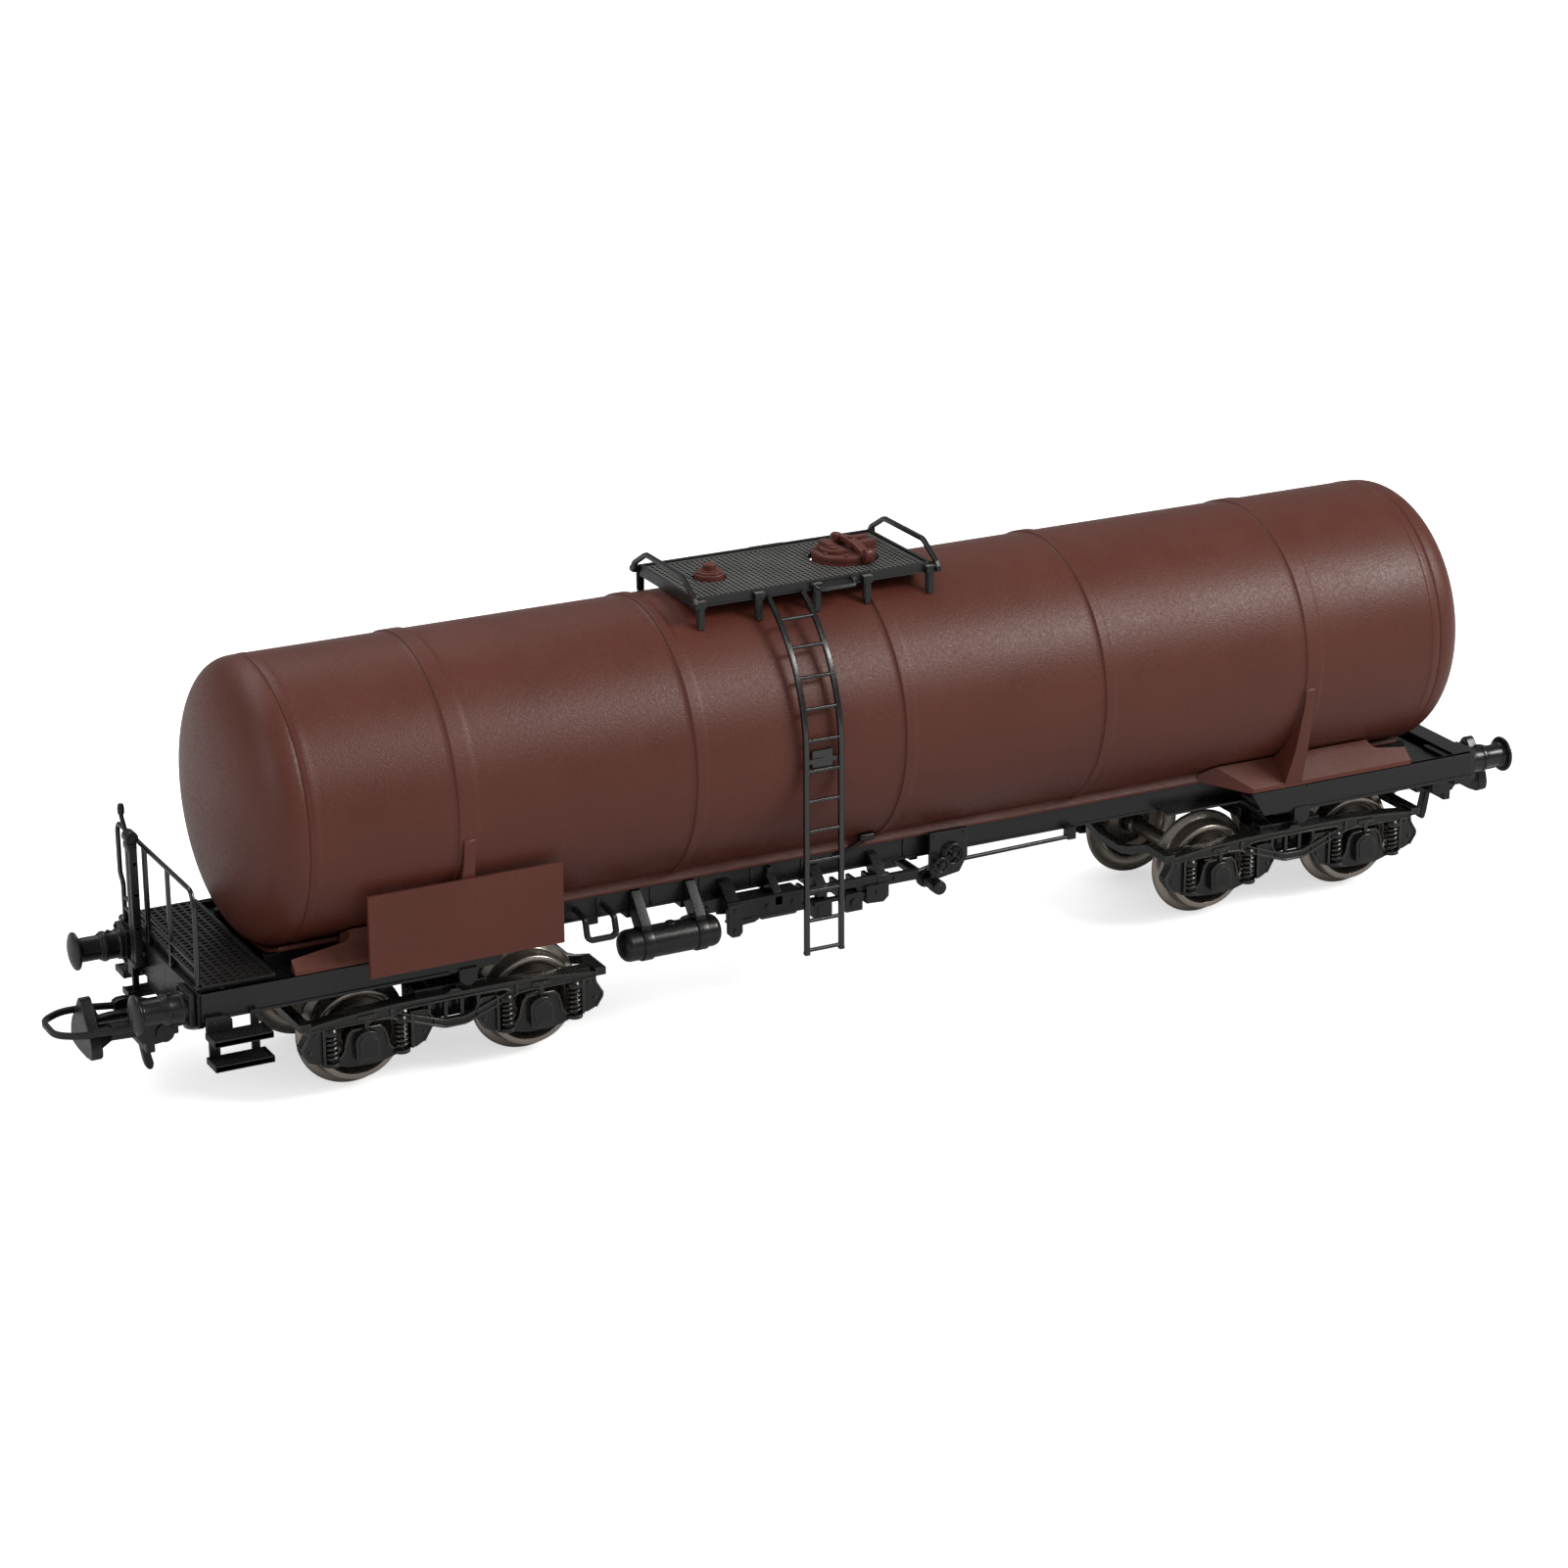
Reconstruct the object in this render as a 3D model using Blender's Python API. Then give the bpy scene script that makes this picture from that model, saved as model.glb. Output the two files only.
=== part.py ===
"""Model tank wagon, HO scale: a welded tank on a low underframe, carried by two four-wheel bogies.

All lengths below are millimetres; each finished mesh is scaled to metres. +X (right) runs along the
wagon towards the plain end, -X (left) is the end with the hand-brake platform, +Z is up. The near side
is -Y and the far side +Y. The origin lies on the centreline, midway between the buffer faces, on the
plane the wheel flanges stand on.
"""

import math

import bmesh
import bpy
from mathutils import Matrix, Vector

SCALE = 0.001            # millimetres to metres
SHARP_ANGLE = 30         # edges bent by more than this many degrees are shaded sharp
SIDES = ((-1, "near"), (1, "far"))
ENDS = ((-1, "left"), (1, "right"))

# ---------------------------------------------------------------- driving dimensions (mm)
TANK_X = 2.05            # middle of the tank along the wagon
TANK_Z = 31.3            # tank axis above the rest plane
TANK_RADIUS = 15.85      # outside of the shell
SHELL = 0.85             # shell thickness
SEAM = 71.3              # head seam, from the middle of the tank
BAND_OFFSET = 53.5       # wide bands, from the middle of the tank
BAND_WIDTH, BAND_HEIGHT = 2.1, 0.16

CRADLE_INNER = TANK_RADIUS + BAND_HEIGHT + 0.06    # radii of the curved saddle plate
CRADLE_OUTER = TANK_RADIUS + BAND_HEIGHT + 0.62

TRANSOM_OFFSET = 53.8    # wide cross members, from the middle of the tank
BOGIE_X = (-52.3, TANK_X + TRANSOM_OFFSET)
WHEELBASE = 20.5
FLANGE_RADIUS, TREAD_RADIUS = 6.38, 5.32
AXLE_Z = FLANGE_RADIUS
WHEEL_INNER_Y, WHEEL_OUTER_Y = 7.2, 9.95

BEAM_X = 81.4            # outer face of a headstock
BEAM_Z0, FRAME_Z0 = 11.7, 12.7    # undersides of the headstocks and of the solebars
FRAME_TOP = 15.75
FRAME_Y = 13.0           # half width of the underframe
SILL_Y = 8.0             # half width of the centre trough
TROUGH_FACE_Y = -(SILL_Y + 0.06)  # inner end of the gear on the near side of the trough

COUPLER_X = 77.6         # drawbar pivot, distance from the middle of the wagon
LOOP_X, LOOP_Z = 82.4, 8.4        # axis the coupler loop lifts about

# ---------------------------------------------------------------- clean scene
for old in list(bpy.data.objects):
    bpy.data.objects.remove(old, do_unlink=True)


# ---------------------------------------------------------------- materials
def material(name, colour, roughness, metallic=0.0):
    mat = bpy.data.materials.new(name)
    mat.use_nodes = True
    shader = mat.node_tree.nodes["Principled BSDF"]
    shader.inputs["Base Color"].default_value = (*colour, 1.0)
    shader.inputs["Roughness"].default_value = roughness
    shader.inputs["Metallic"].default_value = metallic
    return mat


BROWN = material("tank_brown", colour=(0.110, 0.040, 0.031), roughness=0.55)
BLACK = material("chassis_black", colour=(0.018, 0.018, 0.019), roughness=0.50)
WHEEL_METAL = material("wheel_metal", colour=(0.075, 0.060, 0.050), roughness=0.36, metallic=0.9)
AXLE_STEEL = material("axle_steel", colour=(0.30, 0.27, 0.23), roughness=0.35, metallic=1.0)
BALLAST = material("ballast_steel", colour=(0.22, 0.22, 0.22), roughness=0.6, metallic=1.0)


# ---------------------------------------------------------------- outlines and ranges
def span(side, start, end):
    """The range start..end on the given side (-1 or 1) of zero, in rising order."""
    return sorted((side * start, side * end))


def sided(outline, side):
    """A (y, z) outline on the given side of the centreline."""
    return [(side * y, z) for y, z in outline]


def mirrored(half):
    """Completes a (radius, along) profile with the mirror image of its first half."""
    return half + [(radius, -along) for radius, along in reversed(half)]


def rectangle(width, height):
    w, h = width / 2, height / 2
    return [(w, h), (-w, h), (-w, -h), (w, -h)]


def round_section(radius, segments=6):
    angles = [2 * math.pi * (k + 0.5) / segments for k in range(segments)]
    return [(radius * math.cos(angle), radius * math.sin(angle)) for angle in angles]


# ---------------------------------------------------------------- solids
def mesh_of(points, faces):
    bm = bmesh.new()
    verts = [bm.verts.new(p) for p in points]
    for face in faces:
        bm.faces.new([verts[i] for i in face])
    bmesh.ops.recalc_face_normals(bm, faces=bm.faces)
    mesh = bpy.data.meshes.new("shape")
    bm.to_mesh(mesh)
    bm.free()
    return mesh


def box(x0, x1, y0, y1, z0, z1):
    points = [(x, y, z) for z in (z0, z1) for y in (y0, y1) for x in (x0, x1)]
    faces = [(0, 1, 3, 2), (4, 6, 7, 5), (0, 4, 5, 1), (2, 3, 7, 6), (0, 2, 6, 4), (1, 5, 7, 3)]
    return mesh_of(points, faces)


def prism(outline, axis, start, end):
    """Extrudes an outline along an axis: it is (y, z) for X, (x, z) for Y and (x, y) for Z."""
    slot = "XYZ".index(axis)
    points = [(*p[:slot], along, *p[slot:]) for along in (start, end) for p in outline]
    n = len(outline)
    faces = [tuple(range(n)), tuple(range(2 * n - 1, n - 1, -1))]
    faces += [(i, (i + 1) % n, (i + 1) % n + n, i + n) for i in range(n)]
    return mesh_of(points, faces)


def turned(profile, axis, centre, segments, ring=False):
    """Turns (radius, along) points about an axis through centre. ring closes the profile on itself."""
    points, circles = [], []
    angles = [2 * math.pi * k / segments for k in range(segments)]
    for radius, along in profile:
        first = len(points)
        if radius < 1e-6:
            points.append((0.0, 0.0, along))
        else:
            points += [(radius * math.cos(a), radius * math.sin(a), along) for a in angles]
        circles.append(list(range(first, len(points))))
    faces = []
    pairs = list(zip(circles, circles[1:])) + ([(circles[-1], circles[0])] if ring else [])
    for one, two in pairs:
        for k in range(segments):
            k2 = (k + 1) % segments
            if len(one) == 1:
                faces.append((one[0], two[k], two[k2]))
            elif len(two) == 1:
                faces.append((one[k], two[0], one[k2]))
            else:
                faces.append((one[k], two[k], two[k2], one[k2]))
    if not ring:
        faces += [tuple(circle) for circle in (circles[0], circles[-1]) if len(circle) > 1]
    # places of the local x, y and along values in the wagon's axes
    order = {"X": (2, 0, 1), "Y": (1, 2, 0), "Z": (0, 1, 2)}[axis]
    return mesh_of([tuple(c + p[i] for c, i in zip(centre, order)) for p in points], faces)


def cylinder(radius, start, end, axis, centre, segments):
    profile = [(0, start), (radius, start), (radius, end), (0, end)]
    return turned(profile, axis, centre, segments)


def hole(radius, start, end, axis, centre, segments):
    """A plain cylindrical cutter."""
    return turned([(radius, start), (radius, end)], axis, centre, segments)


def rod(path, section):
    """A bar with the given section along an open path, mitred at its corners."""
    path = [Vector(p) for p in path]
    n, m = len(path), len(section)
    directions = [(path[i + 1] - path[i]).normalized() for i in range(n - 1)]
    up = Vector((0, 0, 1)) if abs(directions[0].z) < 0.9 else Vector((0, 1, 0))
    across = directions[0].cross(up).normalized()
    points = []
    for i in range(n):
        before, after = directions[max(i - 1, 0)], directions[min(i, n - 2)]
        tangent = (before + after).normalized()
        if i:
            across = before.rotation_difference(after) @ across
        upward = across.cross(after).normalized()
        for a, b in section:
            offset = across * a + upward * b
            # slide the point along the bar onto the mitre plane
            shift = after * (-(offset.dot(tangent)) / max(after.dot(tangent), 1e-6))
            points.append(tuple(path[i] + offset + shift))
    faces = []
    for i in range(n - 1):
        for k in range(m):
            k2 = (k + 1) % m
            faces.append((i * m + k, i * m + k2, (i + 1) * m + k2, (i + 1) * m + k))
    faces += [tuple(range(m)), tuple(range((n - 1) * m, n * m))]
    return mesh_of(points, faces)


def boolean(base, others, operation):
    scene = bpy.context.scene.collection
    keep = bpy.data.objects.new("tmp_base", base)
    scene.objects.link(keep)
    group = bpy.data.collections.new("tmp_group")
    operands = [bpy.data.objects.new("tmp_other", other) for other in others]
    for obj in operands:
        group.objects.link(obj)
    scene.children.link(group)
    mod = keep.modifiers.new("cut", "BOOLEAN")
    mod.operation = operation
    mod.solver = "EXACT"
    mod.operand_type = "COLLECTION"
    mod.collection = group
    bpy.context.view_layer.update()
    graph = bpy.context.evaluated_depsgraph_get()
    result = bpy.data.meshes.new_from_object(keep.evaluated_get(graph))
    for obj in operands + [keep]:
        bpy.data.objects.remove(obj, do_unlink=True)
    bpy.data.collections.remove(group)
    return result


def union(base, *others):
    return boolean(base, others, "UNION")


def cut(shape, *cutters):
    return boolean(shape, cutters, "DIFFERENCE")


# ---------------------------------------------------------------- objects
def joint(name, at):
    """An empty that marks a moving joint."""
    obj = bpy.data.objects.new(name, None)
    obj.location = tuple(c * SCALE for c in at)
    bpy.context.scene.collection.objects.link(obj)
    return obj


def piece(name, mesh, mat, origin=(0, 0, 0), parent=None):
    """Places a finished shape (mm, world position) as a named object whose origin is at origin."""
    bm = bmesh.new()
    bm.from_mesh(mesh)
    bmesh.ops.remove_doubles(bm, verts=bm.verts, dist=0.0005)
    bmesh.ops.dissolve_degenerate(bm, edges=bm.edges, dist=0.0005)
    bmesh.ops.dissolve_limit(bm, angle_limit=math.radians(0.2), use_dissolve_boundaries=False,
                             verts=bm.verts, edges=bm.edges)
    bmesh.ops.recalc_face_normals(bm, faces=bm.faces)
    bmesh.ops.triangulate(bm, faces=bm.faces)
    bm.to_mesh(mesh)
    bm.free()
    mesh.name = name
    mesh.transform(Matrix.Scale(SCALE, 4) @ Matrix.Translation([-c for c in origin]))
    mesh.materials.clear()
    mesh.materials.append(mat)
    mesh.shade_smooth()
    mesh.set_sharp_from_angle(angle=math.radians(SHARP_ANGLE))
    obj = bpy.data.objects.new(name, mesh)
    bpy.context.scene.collection.objects.link(obj)
    location = Vector([c * SCALE for c in origin])
    if parent:
        obj.parent = parent
        location -= parent.location    # every joint stands directly in the world
    obj.location = location


# ---------------------------------------------------------------- tank
TANK_SEGMENTS = 32
RIB_OFFSETS = (-25.85, 0.0, 25.85)    # narrow ribs, from the middle of the tank
RIB_WIDTH, RIB_HEIGHT = 1.1, 0.10
BUMP_SLOPE = 0.1         # length of the slope at each edge of a rib or band
DOME_DEPTH = 5.85
DOME_POWER = 2.5         # fullness of the dished end
DOME_STEPS_OUTSIDE, DOME_STEPS_INSIDE = 7, 4
END_GAP = 0.05           # clearance between a tank end and the barrel
SPIGOT_DEPTH = 2.0


def barrel():
    start, end = TANK_X - SEAM, TANK_X + SEAM
    ribs = [(offset, RIB_WIDTH, RIB_HEIGHT) for offset in RIB_OFFSETS]
    bumps = [(-BAND_OFFSET, BAND_WIDTH, BAND_HEIGHT), *ribs, (BAND_OFFSET, BAND_WIDTH, BAND_HEIGHT)]
    profile = [(TANK_RADIUS, start)]
    for offset, width, height in bumps:
        x0, x1 = TANK_X + offset - width / 2, TANK_X + offset + width / 2
        crest = TANK_RADIUS + height
        profile += [(TANK_RADIUS, x0 - BUMP_SLOPE), (crest, x0),
                    (crest, x1), (TANK_RADIUS, x1 + BUMP_SLOPE)]
    profile += [(TANK_RADIUS, end), (TANK_RADIUS - SHELL, end), (TANK_RADIUS - SHELL, start)]
    return turned(profile, "X", (0, 0, TANK_Z), TANK_SEGMENTS, ring=True)


def dome_curve(radius, depth, steps):
    """(radius, rise above the seam) points of a dished end, from its middle to its edge."""
    shares = [math.sin(math.pi / 2 * k / steps) for k in range(steps + 1)]
    return [(radius * t, depth * (1 - t ** DOME_POWER) ** (1 / DOME_POWER)) for t in shares]


def tank_end(side):
    """A dished end with a spigot that centres it in the barrel."""
    bore = TANK_RADIUS - SHELL
    outer = [(radius, END_GAP + rise)
             for radius, rise in dome_curve(TANK_RADIUS, DOME_DEPTH, DOME_STEPS_OUTSIDE)]
    spigot = [(bore - END_GAP, END_GAP), (bore - END_GAP, -SPIGOT_DEPTH),
              (bore - SHELL, -SPIGOT_DEPTH)]
    inner = dome_curve(bore - SHELL, DOME_DEPTH - SHELL, DOME_STEPS_INSIDE)[::-1]
    seam = TANK_X + side * SEAM
    profile = [(radius, seam + side * rise) for radius, rise in outer + spigot + inner]
    return turned(profile, "X", (0, 0, TANK_Z), TANK_SEGMENTS)


piece("tank_barrel", barrel(), BROWN)
for end, end_name in ENDS:
    piece(f"tank_end_{end_name}", tank_end(end), BROWN)

# ---------------------------------------------------------------- saddle
CRADLE_HALF_ANGLE, CRADLE_STEPS = 30.5, 10
SKIRT_OFFSETS = (46.6, 72.6)          # ends of a skirt, from the middle of the tank
GUSSET_HALF_WIDTH = 1.0
# plan outlines cut from a skirt: (distance from the middle of the tank, distance from the centreline)
SKIRT_SLANT = [(46.0, 8.0), (41.9, 8.0), (42.0, 14.2), (50.2, 14.2)]
SKIRT_SLOT = [(65.3, 9.15), (73.5, 9.15), (73.5, 12.05), (65.3, 11.2)]


def underside_z(y, radius):
    """Height of the lower half of a circle about the tank axis."""
    return TANK_Z - math.sqrt(radius * radius - y * y)


def bottom_arc(radius):
    """(y, z) points across the bottom of a circle about the tank axis, towards +Y."""
    first, sweep = 270 - CRADLE_HALF_ANGLE, 2 * CRADLE_HALF_ANGLE
    angles = [math.radians(first + sweep * k / CRADLE_STEPS) for k in range(CRADLE_STEPS + 1)]
    return [(radius * math.cos(a), TANK_Z + radius * math.sin(a)) for a in angles]


def skirt(end, side):
    """Sloping plate from the tank to the solebar, slanted inboard and slotted outboard."""
    outline = [(8.2, 17.0), (9.6, underside_z(9.6, CRADLE_INNER) - 0.03),
               (10.0, underside_z(10.0, CRADLE_INNER) - 0.03), (13.0, 16.35), (13.0, 15.82),
               (12.6, 15.82)]
    plate = prism(sided(outline, side), "X", *(TANK_X + end * a for a in SKIRT_OFFSETS))
    cutters = [prism([(TANK_X + end * a, side * y) for a, y in plan], "Z", 10, 25)
               for plan in (SKIRT_SLANT, SKIRT_SLOT)]
    return cut(plate, *cutters)


def gusset(end, side):
    """Upright plate below a band."""
    outline = [(9.3, 17.4), (12.9, 15.9), (14.9, 25.0)]
    outline += [(y, underside_z(y, CRADLE_INNER + 0.06)) for y in (14.62, 14.2, 13.0, 11.8, 10.5)]
    return prism(sided(outline, side), "X", TANK_X + end * (BAND_OFFSET - GUSSET_HALF_WIDTH),
                 TANK_X + end * (BAND_OFFSET + GUSSET_HALF_WIDTH))


def saddle():
    """Curved cradle under the tank, with its edge flanges, skirts and gussets."""
    x0, x1 = TANK_X - SEAM + 0.4, TANK_X + SEAM - 0.4
    flange_y0, flange_y1 = 7.7, 8.75
    flange = [(flange_y0, 16.75), (flange_y1, 16.75),
              (flange_y1, underside_z(flange_y1, CRADLE_INNER) - 0.02),
              (flange_y0, underside_z(flange_y0, CRADLE_INNER) - 0.02)]
    parts = [prism(bottom_arc(CRADLE_OUTER) + bottom_arc(CRADLE_INNER)[::-1], "X", x0, x1)]
    for side, _ in SIDES:
        parts.append(prism(sided(flange, side), "X", x0, x1))
        for end, _ in ENDS:
            parts += [skirt(end, side), gusset(end, side)]
    return union(*parts)


piece("tank_saddle", saddle(), BROWN)


def sign_panel(side):
    plate = box(-63.1, -40.5, *span(side, 15.2, 15.75), 15.0, 24.3)
    lugs = [box(x - 0.5, x + 0.5, *span(side, 13.35, 15.3), 15.1, 15.9) for x in (-60.0, -43.6)]
    return union(plate, *lugs)


for side, side_name in SIDES:
    piece(f"sign_panel_{side_name}", sign_panel(side), BROWN)

# ---------------------------------------------------------------- walkway
WALK_X0, WALK_X1 = -20.15, 9.35
WALK_Y = 7.4             # half width
WALK_Z = 48.65           # top of the rims
RIM_WIDTH = 0.4
LEG_X = (-19.75, -12.6, -5.4, 0.9, 8.9)
LEG_HALF_WIDTH = 0.42
LEG = [(7.2, WALK_Z - 0.9), (7.2, WALK_Z - 0.3), (8.0, WALK_Z - 0.3), (8.0, 45.15), (7.45, 45.40)]
HATCH_X, VALVE_X = 2.0, -14.7


def walkway():
    """Rimmed deck on short legs, with round openings for the manhole and the safety valve."""
    deck = box(WALK_X0, WALK_X1, -WALK_Y, WALK_Y, WALK_Z - 1.0, WALK_Z - 0.25)
    rim_z = (WALK_Z - 0.6, WALK_Z)
    rims = [box(WALK_X0, WALK_X1, *span(side, WALK_Y - RIM_WIDTH, WALK_Y), *rim_z)
            for side, _ in SIDES]
    rims += [box(x, x + RIM_WIDTH, -WALK_Y, WALK_Y, *rim_z) for x in (WALK_X0, WALK_X1 - RIM_WIDTH)]
    legs = [prism(sided(LEG, side), "X", x - LEG_HALF_WIDTH, x + LEG_HALF_WIDTH)
            for x in LEG_X for side, _ in SIDES]
    return cut(union(deck, *rims, *legs),
               hole(4.4, 46, 50, "Z", (HATCH_X, 0, 0), segments=20),
               hole(2.1, 46, 50, "Z", (VALVE_X, 0, 0), segments=14))


def hoop(x):
    """Low arch across one end of the walkway."""
    path = [(x, -8.35, 48.0), (x, -4.6, 50.55), (x, 4.6, 50.55), (x, 8.35, 48.0)]
    feet = [box(x - 0.27, x + 0.27, *span(side, 7.5, 8.5), 47.75, 48.2) for side, _ in SIDES]
    return union(rod(path, rectangle(0.52, 0.52)), *feet)


def side_grab(side):
    path = [(-4.6, 7.45, 48.1), (-4.2, 9.1, 48.5), (-0.3, 9.1, 48.5), (0.1, 7.45, 48.1)]
    return rod([(x, side * y, z) for x, y, z in path], round_section(0.22))


piece("walkway", walkway(), BLACK)
piece("walkway_hoop_left", hoop(WALK_X0 - 0.35), BLACK)
piece("walkway_hoop_right", hoop(WALK_X1 + 0.35), BLACK)
for side, side_name in SIDES:
    piece(f"side_grab_{side_name}", side_grab(side), BLACK)

# ---------------------------------------------------------------- ladders
LADDER_X, LADDER_HALF_WIDTH = -9.28, 2.16
LADDER_Y = 16.6
LADDER_Z0 = 8.4          # foot of the stringers
BEND_Z, BEND_RADIUS = 32.0, 18.0      # where the upright part ends, and the curve above it
BEND_ANGLES = (9, 18, 27, 36, 46, 57)
STRINGER = 0.62          # side of the square stringers
RUNG_HALF = 0.17
FIRST_RUNG, RUNG_PITCH = 0.42, 3.52
TOP_MARGIN = 1.5         # length at the top of the stringers without a rung


def ladder(side):
    """Two stringers that stand upright beside the tank and then curve in over it."""
    rise = BEND_Z - LADDER_Z0

    def centre(distance):
        """(y, z) on the ladder's line at a distance upwards from the foot."""
        if distance <= rise:
            return (side * LADDER_Y, LADDER_Z0 + distance)
        angle = (distance - rise) / BEND_RADIUS
        return (side * (LADDER_Y - BEND_RADIUS * (1 - math.cos(angle))),
                BEND_Z + BEND_RADIUS * math.sin(angle))

    stations = [0.0, rise] + [rise + BEND_RADIUS * math.radians(a) for a in BEND_ANGLES]
    x0, x1 = LADDER_X - LADDER_HALF_WIDTH, LADDER_X + LADDER_HALF_WIDTH
    parts = [rod([(x, *centre(station)) for station in stations], rectangle(STRINGER, STRINGER))
             for x in (x0, x1)]
    distance = FIRST_RUNG
    while distance < stations[-1] - TOP_MARGIN:
        y, z = centre(distance)
        parts.append(box(x0, x1, y - RUNG_HALF, y + RUNG_HALF, z - RUNG_HALF, z + RUNG_HALF))
        distance += RUNG_PITCH
    # stand-off bar towards the tank
    parts.append(box(x0, x1, *span(side, LADDER_Y - 0.1, 16.05), 30.6, 31.4))
    return union(*parts)


for side, side_name in SIDES:
    piece(f"ladder_{side_name}", ladder(side), BLACK)

# ---------------------------------------------------------------- valve and manhole
FITTING_Z0 = 47.25       # underside of the valve and of the manhole neck
MANHOLE_RADIUS, MANHOLE_BORE = 4.1, 3.3
NECK_TOP = 49.35


def safety_valve():
    profile = [(0, FITTING_Z0), (1.66, FITTING_Z0), (1.66, 48.6), (1.5, 48.8), (0.7, 48.85),
               (0.7, 49.5), (0.5, 49.65), (0, 49.65)]
    return turned(profile, "Z", (VALVE_X, 0, 0), 12)


def manhole_neck():
    profile = [(MANHOLE_RADIUS, NECK_TOP), (MANHOLE_RADIUS, FITTING_Z0),
               (MANHOLE_BORE, FITTING_Z0), (MANHOLE_BORE, NECK_TOP)]
    return turned(profile, "Z", (HATCH_X, 0, 0), 16, ring=True)


def manhole_lid():
    """Disc with a small round pad left of its middle."""
    z0 = NECK_TOP + 0.05
    disc = turned([(0, z0), (MANHOLE_RADIUS, z0), (MANHOLE_RADIUS, 49.75), (3.9, 49.95),
                   (3.3, 50.0), (0, 50.05)], "Z", (HATCH_X, 0, 0), 16)
    pad = turned([(0, 49.8), (1.9, 49.8), (1.9, 50.45), (1.7, 50.6), (0, 50.6)],
                 "Z", (HATCH_X - 1.5, 0.6, 0), 10)
    return union(disc, pad)


def manhole_clamp():
    """Bar across the lid with a round boss at its near end."""
    x = HATCH_X + 1.1
    bar = box(x - 0.35, x + 0.35, -4.4, 4.3, 50.1, 50.5)
    return union(bar, cylinder(0.75, -5.3, -4.15, "Y", (x, 0, 50.0), 12))


piece("safety_valve", safety_valve(), BROWN)
piece("manhole_neck", manhole_neck(), BROWN)
piece("manhole_lid", manhole_lid(), BROWN)
piece("manhole_clamp", manhole_clamp(), BROWN)

# ---------------------------------------------------------------- underframe
SOLEBARS = ((-BEAM_X + 0.3, -50.3), (54.6, BEAM_X - 2.5))    # x ranges
CROSS_MEMBERS = (        # x, width
    (-79.0, 1.2), (-72.6, 1.0), (TANK_X - TRANSOM_OFFSET, 5.0),
    (TANK_X + TRANSOM_OFFSET, 5.0), (71.5, 1.0), (78.6, 1.2),
)
BRACE_X = (-33.0, -20.5, -8.0, 4.0, 13.0)
TROUGH_GAP = 0.06        # between the saddle's cradle and the trough


def frame_side(side):
    """One wall of the trough, the solebars beside the bogies and the cross members between them."""
    y0 = SILL_Y - 0.95
    radius = CRADLE_OUTER + TROUGH_GAP
    wall = [(y0, 14.0), (SILL_Y, 14.0), (SILL_Y, underside_z(SILL_Y, radius) - 0.05),
            (y0, underside_z(y0, radius) - 0.05)]
    parts = [prism(sided(wall, side), "X", -72.0, 74.5)]
    for x0, x1 in SOLEBARS:
        parts.append(box(x0, x1, *span(side, FRAME_Y - 0.75, FRAME_Y), FRAME_Z0, FRAME_TOP))
        # lower flange
        parts.append(box(x0, x1, *span(side, FRAME_Y - 1.3, FRAME_Y + 0.12),
                         FRAME_Z0, FRAME_Z0 + 0.35))
    for x, width in CROSS_MEMBERS:
        parts.append(box(x - width / 2, x + width / 2, *span(side, SILL_Y - 0.8, FRAME_Y - 0.3),
                         13.6, 15.3))
    return parts


def frame_end(end):
    """A headstock, a channel open inboard, and the coupler mounting plate with its web."""
    def beam(inner_x, outer_x, half_width, z0, z1):
        return box(*span(end, inner_x, outer_x), -half_width, half_width, z0, z1)
    flange_x = (BEAM_X - 2.6, BEAM_X - 0.4)
    mount_x = (72.4, BEAM_X - 0.2)
    return [
        beam(BEAM_X - 0.7, BEAM_X, FRAME_Y - 0.4, BEAM_Z0, FRAME_TOP),
        beam(*flange_x, FRAME_Y - 0.2, FRAME_TOP - 0.45, FRAME_TOP),
        beam(*flange_x, FRAME_Y - 1.2, BEAM_Z0, BEAM_Z0 + 0.4),
        beam(*mount_x, 4.6, 10.3, 11.9),
        beam(*mount_x, 1.0, 11.5, 14.2),
    ]


def underframe():
    floor_x, floor_y = BEAM_X - 0.6, SILL_Y - 0.6
    floor_top = TANK_Z - (CRADLE_OUTER + TROUGH_GAP) - 0.02
    parts = [box(-floor_x, floor_x, -floor_y, floor_y, 13.55, floor_top)]
    for side, _ in SIDES:
        parts += frame_side(side)
    for end, _ in ENDS:
        parts += frame_end(end)
    # centre plates over the bogies
    parts += [cylinder(3.2, 14.0, 12.75, "Z", (x, 0, 0), 12) for x in BOGIE_X]
    # braces across the underside of the trough, between the bogies
    parts += [box(x - 0.4, x + 0.4, -SILL_Y + 0.5, SILL_Y - 0.5, 12.9, 14.0) for x in BRACE_X]
    screw_holes = [hole(1.06, 10.0, 14.1, "Z", (x, 0, 0), 14) for x in BOGIE_X]
    pin_holes = [hole(0.81, 9.0, 11.4, "Z", (end * COUPLER_X, 0, 0), 12) for end, _ in ENDS]
    return cut(union(*parts), *screw_holes, *pin_holes)


piece("underframe", underframe(), BLACK)

BUFFER_X = 88.0          # buffer faces
BUFFER_Y, BUFFER_Z = 10.05, 13.63
BUFFER_RADIUS = 2.16
BUFFER_PLATE_HALF = 1.95


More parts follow.
